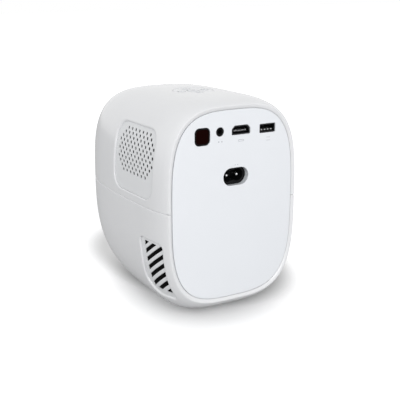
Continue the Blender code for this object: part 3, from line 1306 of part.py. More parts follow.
def focus_groove():
    """Helical cutter: the pin's path as the ring turns by the focus angle."""
    half = FOCUS_PIN_RADIUS + GAP
    spare = half / RING_BORE_RADIUS
    low = RING_BORE_RADIUS - OVERRUN
    high = RING_BORE_RADIUS + FOCUS_GROOVE_DEPTH
    rings = []
    for k in range(FOCUS_GROOVE_STEPS + 1):
        turn = -spare + (FOCUS_TURN + 2 * spare) * k / FOCUS_GROOVE_STEPS
        y = FOCUS_PIN_Y - FOCUS_TRAVEL * turn / FOCUS_TURN
        ring = []
        for radius, shift in ((low, -half), (high, -half), (high, half), (low, half)):
            ring.append((radius * math.sin(turn), y + shift, radius * math.cos(turn)))
        rings.append(np.array(ring))
    groove = loft("groove", rings)
    groove.data.transform(Matrix.Translation((0.0, 0.0, LENS_Z)))
    return groove


def focus_ring():
    """Ribbed ring that turns round the mount's tube and drives the barrel."""
    steps = RING_RIDGES * 4
    outline = []
    for i in range(steps):
        angle = 2 * math.pi * i / steps
        radius = RING_RADIUS + (RING_RIDGE_HEIGHT if i % 4 < 2 else 0.0)
        outline.append((radius * math.cos(angle), LENS_Z + radius * math.sin(angle)))
    ring = prism("focus_ring", outline, "Y", RING_FRONT_Y + RING_LIP, RING_REAR_Y)
    centre = (0.0, LENS_Z)
    join(ring, rod("lip", "Y", centre, RING_RADIUS, RING_FRONT_Y, RING_FRONT_Y + 2 * RING_LIP,
                   BORE_STEPS))
    cut(ring, rod("bore", "Y", centre, RING_BORE_RADIUS, RING_FRONT_Y - OVERRUN,
                  RING_REAR_Y + OVERRUN, BORE_STEPS))
    cut(ring, focus_groove())
    set_origin(ring, (0.0, FOCUS_PIN_Y, LENS_Z))
    return paint(ring, (0.03, 0.03, 0.03), 0.55)


def speakers():
    """Speaker basket with its magnet, and the cone in it, on both sides."""
    face = body_x(SPEAKER_Y + SPEAKER_RADIUS, SPEAKER_Z + SPEAKER_RADIUS, INSERT_BACK) - GAP
    for word, side in (("left", -1), ("right", 1)):
        back = face - SPEAKER_DEPTH
        neck = back + SPEAKER_MAGNET_DEPTH
        seat = face - SPEAKER_FLANGE / 2
        bottom = seat - CONE_DEPTH
        profile = [(0.0, back), (SPEAKER_MAGNET_RADIUS, back), (SPEAKER_MAGNET_RADIUS, neck),
                   (SPEAKER_RADIUS, face - SPEAKER_FLANGE), (SPEAKER_RADIUS, face),
                   (CONE_RADIUS + GAP, face), (CONE_RADIUS + GAP, seat),
                   (CONE_CAP_RADIUS, bottom), (0.0, bottom)]
        centre = (SPEAKER_Y, SPEAKER_Z)
        profile = [(r, side * x) for r, x in profile]
        basket = turned("speaker_" + word, profile, "X", centre)
        paint(basket, (0.12, 0.12, 0.13), 0.5)
        rest = seat + GAP * 2
        cap = bottom + GAP * 2
        profile = [(0.0, cap), (CONE_CAP_RADIUS, cap), (CONE_RADIUS, rest),
                   (CONE_RADIUS, rest + CONE_WALL), (CONE_CAP_RADIUS, cap + CONE_WALL),
                   (CONE_CAP_RADIUS / 2, cap + 2 * CONE_WALL), (0.0, cap + 2 * CONE_WALL)]
        profile = [(r, side * x) for r, x in profile]
        cone = turned("speaker_cone_" + word, profile, "X", centre)
        paint(cone, (0.04, 0.04, 0.045), 0.7)


clear_scene()
upper_shell()
lower_shell()
feet()
stand_nut()
rear_panel()
front_panel()
side_covers()
control_pad()
keys()
key_board()
main_board()
video_socket()
data_socket()
sound_jack()
remote_sensor()
mains_inlet()
power_supply()
optical_box()
light_source()
heat_sink()
fan()
lens_mount()
lens_barrel()
focus_ring()
speakers()
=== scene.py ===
"""Small tower projector: the finish of every surface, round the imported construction.

Sizes are in millimetres and become metres where a mesh is written. Z is up, Y runs from the
lens side to the socket side, and X is positive on the side with the remote window.
"""

import math

import bpy
import numpy as np
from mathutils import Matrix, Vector
from mathutils.geometry import delaunay_2d_cdt


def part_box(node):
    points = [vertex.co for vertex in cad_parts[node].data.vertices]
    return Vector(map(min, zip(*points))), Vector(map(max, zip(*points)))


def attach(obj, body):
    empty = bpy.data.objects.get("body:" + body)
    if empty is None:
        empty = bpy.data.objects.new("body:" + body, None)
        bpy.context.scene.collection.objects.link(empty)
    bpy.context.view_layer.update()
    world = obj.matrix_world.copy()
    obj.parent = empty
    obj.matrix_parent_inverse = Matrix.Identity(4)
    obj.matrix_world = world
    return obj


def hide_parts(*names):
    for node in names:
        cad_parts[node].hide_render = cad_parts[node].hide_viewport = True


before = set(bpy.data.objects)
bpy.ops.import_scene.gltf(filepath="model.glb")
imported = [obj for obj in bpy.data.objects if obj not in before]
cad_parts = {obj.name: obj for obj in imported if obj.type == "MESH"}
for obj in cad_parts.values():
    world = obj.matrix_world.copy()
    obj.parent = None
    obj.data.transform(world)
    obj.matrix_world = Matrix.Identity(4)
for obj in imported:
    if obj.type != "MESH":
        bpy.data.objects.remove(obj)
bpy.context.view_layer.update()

MM = 0.001

# Body law: the construction's, but with a later and rounder draw-in at the rear end
FRONT_Y, REAR_Y = -67.75, 67.75
BODY_HALF_WIDTH = 58.72
SEAM_TO_TOP, SEAM_TO_BASE = 75.79, 83.21
SEAM_Z = 85.21
TOP_Z = SEAM_Z + SEAM_TO_TOP
WIDEST_TO_REAR = 33.4
WIDEST_Y = REAR_Y - WIDEST_TO_REAR
FRONT_LAW_LENGTH = 122.2
REAR_DRAW_IN, REAR_TOP_DROP, REAR_BASE_RISE = 4.5, 3.3, 10.2
FRONT_EDGE_ROUND = 3.0
REAR_EDGE_LENGTH, REAR_EDGE_DEPTH = 6.0, 0.7
RIM_WALL, RIM_FALL = 2.45, 1.0
RIM_SHARES = (0.4, 0.6, 0.8, 0.95, 1.0)
SECTION_POWER, FRONT_TOP_POWER, FRONT_BASE_POWER = 3.388, 3.3, 2.659
WIDTH_LAW, TOP_LAW, BASE_LAW, REAR_LAW = 3.511, 4.601, 4.0, 2.7
WALL = 2.2
GAP = 0.3
EDGE_ROLL = 0.45
OPENING_ROLL = 0.9
TONGUE_INSETS, TONGUE_HALF_HEIGHT = (0.5, 1.7), 1.6
TONGUE_Y = (FRONT_Y + 3.5, REAR_Y - 3.0)

# Fineness of the meshes: counts of steps, distances between points, and shares of these
ROLL_STEPS = 4
CHART_STEPS = 4001
SECTION_STEPS, FIGURE_STEPS = 600, 720
SHELL_SPACING = 1.7
EDGE_SPACING = 0.6
OPENING_SPACING = 1.5
CLEAR_SHARE = 0.55
BATCH = 2000
WALL_SPACING = 2.0
COARSE_SPACING = 3.0
SMALLEST_CORNER, SMALLEST_POLYGON_CORNER = 0.05, 0.02

# Values next to nought, below which a formula isn't followed, and what the triangulation is told:
# to keep what lies inside its edges, and how near two points are one
POLE, LEAST_SHARE, LEAST_SLOPE = 1e-9, 1e-9, 1e-6
INSIDE_ONLY, SAME_PLACE = 1, 1e-7

# Angles in degrees, past which an edge stays sharp
USUAL_SHARP, LENS_SHARP, TONGUE_SHARP, THREAD_SHARP = 40.0, 50.0, 30.0, 25.0

# Sides of circles, from the lens down to the smallest fittings
LENS_SIDES, WIDE_SIDES, ROUND_SIDES = 144, 96, 64
FITTING_SIDES, SMALL_SIDES, TINY_SIDES = 48, 40, 32

# Rolls that several edges share
HAIR_ROLL, FINE_ROLL, SMALL_ROLL, SOFT_ROLL = 0.05, 0.1, 0.2, 0.3

# Panels at the two ends
PANEL_Y = REAR_Y - 0.5
FACE_Y = FRONT_Y + 0.5
PANEL_THICKNESS = 2.5
FRONT_GROOVE, REAR_GROOVE = 0.5, 0.42
LEDGE_SUNK, LEDGE_THICKNESS, LEDGE_LAP = 1.6, 1.0, (0.2, 0.05)
PANEL_ROLL, OPENING_EDGE_ROLL, FACE_ROLL = 0.15, 0.25, 0.5
FACE_STEP = 1.0
PANEL_POINTS = 320
PANEL_SPACING, PANEL_EDGE_SPACING, FACE_SPACING = 1.5, 1.2, 2.4
PILLOW_WIDTH, PILLOW_DROP = 7.0, 0.05
APERTURE_RADIUS, APERTURE_ROLL = 27.2, 1.2
LENS_Z = 105.0

# Covers in the sides, which are thin plates with a black screen behind each: painted shade for the
# dark inside of the body
INSERT_SUNK = 1.35
COVER_THICKNESS, COVER_LAP = 0.6, 0.02
COVER_CORNER_STEPS = 12
COVER_SPACING = 1.6
SCREEN_BEHIND, SCREEN_THICKNESS, SCREEN_SHORT, SCREEN_SPACING = 0.75, 0.4, 1.5, 2.5

# Speaker cover
GRILLE_Y = (-9.2, 50.6)
GRILLE_Z = (91.0, 141.3)
GRILLE_CORNER = 11.0
HOLE_RADIUS, HOLE_ROLL = 1.25, 0.15
HOLE_SIDES = 14
HOLE_PITCH_Y, HOLE_PITCH_Z = 5.65, 3.04
HOLE_TOP_Z, HOLE_CENTRE_Y = 136.45, 22.2
HOLE_ROWS = (7, 8, 9, 10, 9, 10, 9, 10, 9, 8, 7)

# Slanted vent
VENT_Y = (32.0, 61.0)
VENT_Z = (18.0, 62.0)
VENT_CORNER, VENT_FRONT_CORNER = 4.0, 15.0
SLOT_Y = (39.2, 59.6)
SLOT_Z = (23.6, 60.0)
SLOT_HEIGHT, SLOT_PITCH, SLOT_SLOPE = 3.6, 6.65, 0.68
SLOT_TOP_Z = 74.65
SLOT_COUNT = 8
SLOT_CORNER = 0.15
SLOT_LEAN = 0.06
SLOT_SHORTEST_EDGE = 0.6

# Control pad: each key has its node and body, its place from the pad's centre and its radius
PAD_Y = 10.0
PAD_RADIUS, PAD_SPACING = 15.0, 1.2
PAD_RECESS_ROLL, PAD_COLLAR_DEPTH, PAD_COLLAR_WALL = 0.8, 3.3, 2.7
PAD_TOP_Z = TOP_Z - 0.5
PAD_THICKNESS = 2.3
KEY_TOP_Z = TOP_Z - 0.1
KEY_FOOT_Z = 154.5
KEY_FLANGE, KEY_FLANGE_WIDTH, KEY_ROUND = 1.1, 0.9, 0.25
KEY_DISH, KEY_DISH_RIM, KEY_DISH_STEPS = 0.18, 0.4, 8
KEY_REACH = 9.9
KEYS = (("power_key", "power_button", 0.0, 0.0, 4.6),
        ("key_front", "front_button", 0.0, -KEY_REACH, 2.9),
        ("key_rear", "rear_button", 0.0, KEY_REACH, 2.9),
        ("key_left", "left_button", -KEY_REACH, 0.0, 2.9),
        ("key_right", "right_button", KEY_REACH, 0.0, 2.9))

# Printed marks
INK_THICKNESS, INK_ROLL, INK_PROUD, INK_SPACING = 0.06, 0.02, 0.04, 5.0
BAR_CORNER, BAR_CORNER_STEPS = 0.08, 2
KEY_MARK_Z = KEY_TOP_Z - 0.12
POWER_RING, POWER_STROKE, POWER_STROKE_UP = (1.5, 1.15), (0.35, 1.3), 0.55
CHEVRON_BAR, CHEVRON_ANGLE = (1.25, 0.3), math.radians(135.0)
CHEVRON_FORWARD, CHEVRON_SPREAD = 0.35, 0.5
# On the rear panel in X and Z: rings under the jack, a screen's frame under the video socket (two
# ranges and a corner), and bars by the data socket and the inlet (centre, size and turn)
RING_MARKS, RING_MARK_RADII = ((10.6, 132.2), (13.2, 132.2)), (0.55, 0.25)
FRAME_CORNER_STEPS = 3
FRAME_MARK = (((-8.0, -3.2), (130.9, 132.3), 0.4), ((-7.7, -3.5), (131.2, 132.0), 0.2))
BAR_MARKS = tuple(((x, 131.6), (1.0, 0.28), math.pi / 2) for x in (-30.2, -29.1, -28.0)) + (
    ((-29.1, 129.4), (3.6, 0.28), 0.0),
    ((-3.0, 114.3), (1.1, 0.4), 0.0), ((-0.8, 114.3), (1.1, 0.4), 0.0))

# Sockets of the rear panel
VIDEO_X, VIDEO_HALF, VIDEO_TOP_Z, VIDEO_LOW_Z = -5.6, 7.5, 142.2, 136.1
VIDEO_CHAMFER, VIDEO_CORNER = 2.2, 0.3
DATA_X, DATA_HALF, DATA_TOP_Z, DATA_LOW_Z = -28.4, 6.6, 141.3, 135.3
DATA_CORNER, DATA_CORNER_STEPS = 0.5, 4
JACK_X, JACK_Z, JACK_RADIUS, JACK_BORE = 12.0, 139.2, 3.0, 1.8
JACK_COLLAR_DEPTH, JACK_COLLAR_ROUNDS, JACK_CORNER, JACK_CORNER_STEPS = 8.0, (0.3, 0.35), 0.4, 3
JACK_CAP_LAP, JACK_CAP_IN, JACK_CAP_THICKNESS = 0.4, 1.5, 1.4
WINDOW_X, WINDOW_Z, WINDOW_HALF, WINDOW_CORNER = 26.4, 137.0, 6.0, 3.4
WINDOW_STEPS, WINDOW_OPENING_STEPS = 12, 10
WINDOW_DEPTH, WINDOW_RIM, WINDOW_SPACING = 1.7, 0.85, 1.0
PANE_THICKNESS, PANE_INSET = 1.4, 0.9
INLET_X, INLET_Z = -1.65, 105.75
INLET_HALF_WIDTH, INLET_HALF_HEIGHT = 10.55, 6.45
INLET_CORNER, INLET_CORNER_STEPS, INLET_ROLL = INLET_HALF_HEIGHT - 0.06, 12, 0.35
INLET_COLLAR_DEPTH, INLET_COLLAR_WALL = 4.3, 1.5
INLET_FRONT_Y = 62.65
INLET_BODY_DEPTH, INLET_BODY_WALL, INLET_BODY_TRIM, INLET_BODY_STEPS = 16.0, 3.2, 0.3, 6
INLET_CAVITY_RADIUS, INLET_CAVITY_WAIST, INLET_CAVITY_TRIM = 4.6, 3.5, 0.1
INLET_CAVITY_POINTS, INLET_CAVITY_ROLL = 96, 0.5
INLET_CAVITY_DEPTH, INLET_FLOOR, INLET_FLOOR_LAP = 12.5, 1.5, 0.2
PIN_SPACING, PIN_RADIUS, PIN_TIP_Y, PIN_TIP_STEPS = 8.6, 1.2, 62.0, 6
# Contacts on the tongues: name, node, how many, and how wide each is
CONTACTS = (("video_contacts", "video_socket_tongue", 9, 0.55),
            ("data_contacts", "data_socket_tongue", 4, 1.3))
CONTACT_SHORT, CONTACT_UP, CONTACT_HEIGHT = 0.3, 0.1, 0.8

# Base
PLINTH_Z, PLINTH_THICKNESS = 1.7, 6.0
PLINTH_X, PLINTH_Y = 24.0, (-36.0, 24.0)
PLINTH_CORNER, PLINTH_CORNER_STEPS = 8.0, 10
PLINTH_SLACK, PLINTH_ROLL, NUT_HOLE_ROLL = 0.1, 0.6, 0.4
FOOT_X, FOOT_Y = 17.0, (-29.0, 17.0)
FOOT_RADIUS, FOOT_HEIGHT = 5.0, 2.2
FOOT_HOLLOW, FOOT_HOLLOW_RADIUS, FOOT_ROUND = 0.25, (2.6, 2.9), 0.55
NUT_Y, NUT_RADIUS, NUT_BORE, NUT_Z = -10.0, 5.0, 3.1, (2.0, 9.0)
NUT_ROUND, NUT_CHAMFER = 0.15, 0.5
THREAD_PITCH, THREAD_DEPTH, THREAD_START, THREAD_ENDS = 0.9, 0.3, 0.6, 0.8
# Each groove's upper edge, bottom and lower edge, as shares of the pitch
THREAD_SHARES = (0.7, 0.45, 0.2)

# Lens
RING_RADIUS, RING_RIDGE, RING_BORE = 24.7, 0.7, 20.3
RING_FRONT_Y, RING_REAR_Y, RING_LIP = -66.4, -45.0, 2.2
RING_RIDGES, RING_RIDGE_STEPS, RIDGE_SHARPNESS, RIDGE_START = 54, 8, 2.5, 0.01
# The grip's rear end and the length of its slopes, the front lip's round, and the mouth's
# corners: how far out from the bore, how far in from the front, and the round
RING_GRIP_END, RING_GRIP_SLOPE, RING_LIP_ROUND = 1.0, 0.5, 0.9
RING_MOUTH = ((2.2, 0.0, 0.3), (1.6, 1.2, 0.3), (0.0, 1.8, 0.4))
BARREL_RADIUS, BARREL_BORE = 17.2, 14.6
BARREL_FRONT_Y, BARREL_REAR_Y, BARREL_ROUND_STEPS = -60.0, -33.0, 3
BARREL_LIP, BARREL_MOUTH_ROUND, BARREL_THROAT = 1.2, 0.5, (0.2, 3.2)
BAFFLE_STEPS, BAFFLE_PITCH, BAFFLE_DRAW_IN = 5, 0.5, 0.2
BAFFLE_START, BAFFLE_OUT, BAFFLE_STEP = 0.5, 1.0, (0.12, 0.25)
FRONT_GLASS_Y, REAR_GLASS_Y = -56.0, -39.0
GLASS_RADIUS, GLASS_HALF_EDGE, GLASS_DOME = 14.3, 1.25, 2.0
GLASS_FLATNESS, GLASS_RINGS = 1.04, 14
FOCUS_PIN_Y, FOCUS_PIN_RADIUS, FOCUS_PIN_TOP, FOCUS_PIN_ROOT = -49.0, 1.5, 22.7, 1.0


def body_law(y):
    """Half width, height above and below the seam and both powers of the section at y.

    Each size falls from its widest value as the n-th root of one minus the n-th power of the
    way to the front, and draws in behind the widest place as a power of the way to the rear.
    """
    front = np.clip((WIDEST_Y - y) / FRONT_LAW_LENGTH, 0.0, 1.0)
    rear = np.clip((y - WIDEST_Y) / WIDEST_TO_REAR, 0.0, 1.0) ** REAR_LAW
    width = BODY_HALF_WIDTH * (1 - front ** WIDTH_LAW) ** (1 / WIDTH_LAW) - REAR_DRAW_IN * rear
    above = SEAM_TO_TOP * (1 - front ** TOP_LAW) ** (1 / TOP_LAW) - REAR_TOP_DROP * rear
    below = SEAM_TO_BASE * (1 - front ** BASE_LAW) ** (1 / BASE_LAW) - REAR_BASE_RISE * rear
    upper = SECTION_POWER + (FRONT_TOP_POWER - SECTION_POWER) * front
    lower = SECTION_POWER + (FRONT_BASE_POWER - SECTION_POWER) * front
    return width, above, below, upper, lower


def roll_in(distance, radius):
    """How far a round edge of that radius has turned in at a distance from the edge.

    It is the radius less the root of its square minus the square of the way still left.
    """
    into = np.clip(radius - distance, 0.0, radius)
    return radius - np.sqrt(radius ** 2 - into ** 2)


def rear_turn(y):
    """How far the quarter ellipse of the rear edge has drawn the skin in at y.

    It is the depth times one less the root of one minus the squared share of the length.
    """
    share = np.clip((y - REAR_Y) / REAR_EDGE_LENGTH + 1.0, 0.0, 1.0)
    return REAR_EDGE_DEPTH * (1 - np.sqrt(1 - share ** 2))


def skin(y, turn, side, inset):
    """Points of the upper (side 1) or lower (side -1) casing skin.

    The section is a superellipse: cosine and sine of the turn, each to the power of two over
    the section's own power, times the half width and the height from the seam.
    """
    width, above, below, upper, lower = body_law(y)
    height, power = (above, upper) if side > 0 else (below, lower)
    cosine, sine = np.cos(turn), np.clip(np.sin(turn), 0.0, 1.0)
    lift = GAP / 2
    x = (width - inset) * np.sign(cosine) * np.abs(cosine) ** (2 / power)
    z = SEAM_Z + side * (lift + (height - inset - lift) * sine ** (2 / power))
    return np.stack([x, np.broadcast_to(y, x.shape), z], axis=1)


def side_x(y, z, inset):
    """Half width of the body at points of its side.

    It is the width times the power's root of one minus the height's share to that power.
    """
    width, above, below, upper, lower = body_law(y)
    up = z > SEAM_Z
    drawn = inset + rear_turn(y)
    height = np.where(up, above, below) - drawn
    power = np.where(up, upper, lower)
    share = np.clip(np.abs(z - SEAM_Z) / height, 0.0, 1.0)
    return (width - drawn) * (1 - share ** power) ** (1 / power)


def signed_area(loop):
    """Area of a closed loop, half the sum of x times the next y less the next x times y.

    It is positive where the loop runs counter-clockwise.
    """
    x, y = loop[:, 0], loop[:, 1]
    return 0.5 * np.sum(x * np.roll(y, -1) - np.roll(x, -1) * y)


def inside(points, loop):
    """Which points lie inside a closed loop, by counting the edges to their right."""
    px, py = points[:, :1], points[:, 1:2]
    ax, ay = loop[:, 0], loop[:, 1]
    bx, by = np.roll(ax, -1), np.roll(ay, -1)
    spans = (ay > py) != (by > py)
    rise = np.where(by == ay, 1.0, by - ay)
    crossing = ax + (py - ay) * (bx - ax) / rise
    return (spans & (px < crossing)).sum(axis=1) % 2 == 1


def filled(loops, us, vs, margin):
    """Triangulate between loops: the first is the outer edge and the others are holes.

    A grid of points lies between them, at least the margin away from every loop. Returns
    the points, loops first, the triangles and the first index of each loop.
    """
    grid = np.stack(np.meshgrid(us, vs), axis=-1).reshape(-1, 2)
    keep = inside(grid, loops[0])
    for loop in loops:
        low, high = loop.min(axis=0) - margin, loop.max(axis=0) + margin
        near = np.flatnonzero(np.all((grid > low) & (grid < high), axis=1) & keep)
        close = np.zeros(len(near), bool)
        for part in np.array_split(np.arange(len(near)), 1 + len(near) // BATCH):
            away = grid[near[part], None] - loop[None]
            close[part] = (away ** 2).sum(axis=2).min(axis=1) < margin ** 2
        if loop is not loops[0]:
            close |= inside(grid[near], loop)
        keep[near[close]] = False
    points = np.concatenate(loops + [grid[keep]])
    starts = np.cumsum([0] + [len(loop) for loop in loops])
    edges = []
    for start, loop in zip(starts, loops):
        order = start + np.arange(len(loop))
        edges += np.stack([order, np.roll(order, -1)], axis=1).tolist()
    result = delaunay_2d_cdt([Vector(p) for p in points.tolist()], edges, [],
                              INSIDE_ONLY, SAME_PLACE)
    source = np.array([origin[0] for origin in result[3]])
    triangles = source[np.array(result[2])]
    owner = np.searchsorted(starts[1:], triangles, side="right")
    keep = np.ones(len(triangles), bool)
    for k, loop in enumerate(loops):
        own = np.flatnonzero(np.all(owner == k, axis=1))
        within = inside(points[triangles[own]].mean(axis=1), loop)
        keep[own] = within if k == 0 else ~within
    triangles = triangles[keep]
    return points, triangles, starts


def strip(first, second):
    """Quads between two closed rows of point numbers."""
    return np.stack([first, second, np.roll(second, -1), np.roll(first, -1)], axis=1)


def facing(outline, wanted):
    """The outline turned so that it runs counter-clockwise (1) or clockwise (-1)."""
    if signed_area(outline(0.0)) * wanted > 0:
        return outline
    return lambda growth: outline(growth)[::-1]


def even_places(low, high, spacing):
    """Evenly spaced places from low to high, at most the spacing apart."""
    return np.linspace(low, high, int(np.ceil((high - low) / spacing)) + 1)


def sheet(place, thickness, edges, spacing, us=None):
    """A plate of one thickness on a chart, with rolled edges, as points and faces.

    place(points, inset) puts points of the chart in space, the inset deep in the plate. Each
    edge is (outline, roll) or (outline, roll, walls): outline(growth) is its loop in the
    chart, grown by a distance, roll is the radius from the face into the wall, and walls are
    the (growth, inset) rows that follow, where they don't go straight through. The first edge
    is the outer one and the others are holes. Points between the edges lie on a grid, whose
    places along the chart may be given as us.
    """
    edges = [(facing(outline, -1 if k else 1), radius if k else -radius,
              walls[0] if walls else [(0.0, thickness)])
             for k, (outline, radius, *walls) in enumerate(edges)]
    loops = [outline(radius) for outline, radius, walls in edges]
    low, high = loops[0].min(axis=0), loops[0].max(axis=0)
    us = even_places(low[0], high[0], spacing) if us is None else us
    vs = even_places(low[1], high[1], spacing)
    base, triangles, starts = filled(loops, us, vs, CLEAR_SHARE * spacing)
    count = len(base)
    points = [place(base, 0.0), place(base, thickness)]
    faces = [triangles, triangles[:, ::-1] + count]
    total = 2 * count
    turns = np.linspace(math.pi / 2, 0.0, ROLL_STEPS + 1)[1:]
    for k, (outline, radius, walls) in enumerate(edges):
        size, sign = len(loops[k]), 1 if k else -1
        front = starts[k] + np.arange(size)
        rows = [(radius * (1 - np.cos(t)), abs(radius) * (1 - np.sin(t))) for t in turns]
        last = front
        for growth, inset in rows + [(sign * g, i) for g, i in walls]:
            points.append(place(outline(growth), inset))
            row = total + np.arange(size)
            faces.append(strip(last, row))
            last = row
            total += size
        faces.append(strip(last, front + count))
    return np.concatenate(points), faces


def around(centre, half):
    """The range that reaches half a width to both sides of a centre."""
    return centre - half, centre + half


def box_loop(us, vs, corners, steps=8):
    """Outline function of a box over two ranges, with one radius or one for each corner.

    The corners go round counter-clockwise from the lowest one.
    """
    radii = np.broadcast_to(corners, 4)

    def outline(growth):
        arcs = []
        for k, corner in enumerate(radii):
            radius = max(corner + growth, SMALLEST_CORNER)
            u = us[0] - growth + radius if k in (0, 3) else us[1] + growth - radius
            v = vs[0] - growth + radius if k in (0, 1) else vs[1] + growth - radius
            turns = math.pi * (1 + k / 2) + np.linspace(0.0, math.pi / 2, steps + 1)
            arcs.append(np.stack([u + radius * np.cos(turns), v + radius * np.sin(turns)], axis=1))
        return np.concatenate(arcs)
    return outline


def grown(outline, distance):
    """The same outline function, already grown by a distance."""
    return lambda growth: outline(growth + distance)


def split_long(outline, spacing):
    """The same outline with extra points on its straight sides, as many at every growth."""
    base = outline(0.0)
    following = np.roll(base, -1, axis=0)
    counts = np.maximum(1, np.ceil(np.linalg.norm(following - base, axis=1) / spacing)).astype(int)

    def finer(growth):
        loop = outline(growth)
        after = np.roll(loop, -1, axis=0)
        parts = [a + (b - a) * np.linspace(0.0, 1.0, n, endpoint=False)[:, None]
                 for a, b, n in zip(loop, after, counts)]
        return np.concatenate(parts)
    return finer


def circle_loop(centre, radius, steps):
    """Outline function of a circle: cosine and sine of even turns, times the radius."""
    turns = np.linspace(0.0, 2 * math.pi, steps, endpoint=False)
    unit = np.stack([np.cos(turns), np.sin(turns)], axis=1)
    return lambda growth: np.array(centre) + unit * (radius + growth)


def polygon_loop(corners, radius, steps=3):
    """Outline function of a convex polygon with equal round corners.

    Every side moves out by the growth, and an arc that touches both sides fills each corner.
    """
    corners = np.array(corners, float)
    if signed_area(corners) < 0:
        corners = corners[::-1]

    def outline(growth):
        along = np.roll(corners, -1, axis=0) - corners
        along /= np.linalg.norm(along, axis=1)[:, None]
        out = np.stack([along[:, 1], -along[:, 0]], axis=1)
        before_out = np.roll(out, 1, axis=0)
        spread = 1 + np.sum(out * before_out, axis=1, keepdims=True)
        size = max(radius + growth, SMALLEST_POLYGON_CORNER)
        centres = corners + (out + before_out) / spread * (growth - size)
        first = np.arctan2(before_out[:, 1], before_out[:, 0])
        turn = np.mod(np.arctan2(out[:, 1], out[:, 0]) - first, 2 * math.pi)
        turns = first[:, None] + turn[:, None] * np.linspace(0.0, 1.0, steps + 1)
        arcs = centres[:, None] + size * np.stack([np.cos(turns), np.sin(turns)], axis=-1)
        return arcs.reshape(-1, 2)
    return outline


def even_loop(loop, count):
    """A closed loop resampled to evenly spaced points along its edges' summed lengths."""
    closed = np.concatenate([loop, loop[:1]])
    reach = np.concatenate([[0.0], np.cumsum(np.linalg.norm(np.diff(closed, axis=0), axis=1))])
    places = np.linspace(0.0, reach[-1], count, endpoint=False)
    return np.stack([np.interp(places, reach, closed[:, k]) for k in (0, 1)], axis=1)


def section_loop(y, inset, count):
    """Outline function of the body's whole section at y, in X and Z, drawn in by the inset."""
    def outline(growth):
        turns = np.linspace(0.0, math.pi, SECTION_STEPS)
        upper = skin(np.array([y]), turns, 1, inset - growth)
        lower = skin(np.array([y]), turns[::-1], -1, inset - growth)
        ring = np.concatenate([upper, lower[1:-1]])[:, [0, 2]]
        return even_loop(ring, count)
    return outline


def placed(name, data):
    """A new object of the data, linked to the scene."""
    obj = bpy.data.objects.new(name, data)
    bpy.context.scene.collection.objects.link(obj)
    return obj


def piece(name, shape, finish, body="casing", node=None, sharp=USUAL_SHARP,
          weighted=True):
    """Write points and faces as a mesh piece in metres that rides on its body.

    The faces are turned outwards by the sign of the volume, a . (b x c) summed over the
    triangles. The material is the finish's, and the node, which is hidden, is the one that
    the piece stands for.
    """
    points = np.asarray(shape[0], float) * MM
    faces = [np.asarray(f) for f in shape[1] if len(f)]
    fans = np.concatenate([f[:, [0, k, k + 1]] for f in faces for k in range(1, f.shape[1] - 1)])
    a, b, c = (points[fans[:, k]] for k in range(3))
    if np.sum(a * np.cross(b, c)) < 0:
        faces = [f[:, ::-1] for f in faces]
    sizes = np.concatenate([np.full(len(f), f.shape[1]) for f in faces])
    starts = np.concatenate([[0], np.cumsum(sizes)[:-1]]).astype(np.int32)
    corners = np.concatenate([f.ravel() for f in faces]).astype(np.int32)
    mesh = bpy.data.meshes.new(name)
    mesh.vertices.add(len(points))
    mesh.vertices.foreach_set("co", points.astype(np.float32).ravel())
    mesh.loops.add(len(corners))
    mesh.loops.foreach_set("vertex_index", corners)
    mesh.polygons.add(len(sizes))
    mesh.polygons.foreach_set("loop_start", starts)
    mesh.update(calc_edges=True)
    mesh.validate()
    mesh.shade_smooth()
    mesh.set_sharp_from_angle(angle=math.radians(sharp))
    mesh.materials.append(FINISH[finish])
    obj = placed(name, mesh)
    if weighted:
        obj.modifiers.new("even_shading", "WEIGHTED_NORMAL").keep_sharp = True
    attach(obj, body)
    if node:
        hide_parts(node)


def several(parts):
    """Put the points and faces of several shapes into one mesh."""
    points, faces, start = [], [], 0
    for some_points, some_faces in parts:
        points.append(some_points)
        faces += [np.asarray(f) + start for f in some_faces]
        start += len(some_points)
    return np.concatenate(points), faces


def rounded(corners, steps=4):
    """A closed profile from (radius, place, round) corners, with an arc in each round one.

    The arc touches both sides at the round's radius over the tangent of half the angle, and
    its middle lies on the bisector at that radius over the sine of the half.
    """
    result = []
    for k, (u, v, size) in enumerate(corners):
        here = np.array([u, v], float)
        if size <= 0:
            result.append(here)
            continue
        before = np.array(corners[k - 1][:2], float) - here
        after = np.array(corners[(k + 1) % len(corners)][:2], float) - here
        before /= np.linalg.norm(before)
        after /= np.linalg.norm(after)
        half = math.acos(np.clip(np.dot(before, after), -1.0, 1.0)) / 2
        reach = size / math.tan(half)
        start, end = here + before * reach, here + after * reach
        middle = here + (before + after) / np.linalg.norm(before + after) * size / math.sin(half)
        for t in np.linspace(0.0, 1.0, steps + 1):
            mixed = (start - middle) * (1 - t) + (end - middle) * t
            result.append(middle + mixed / np.linalg.norm(mixed) * size)
    return np.array(result)


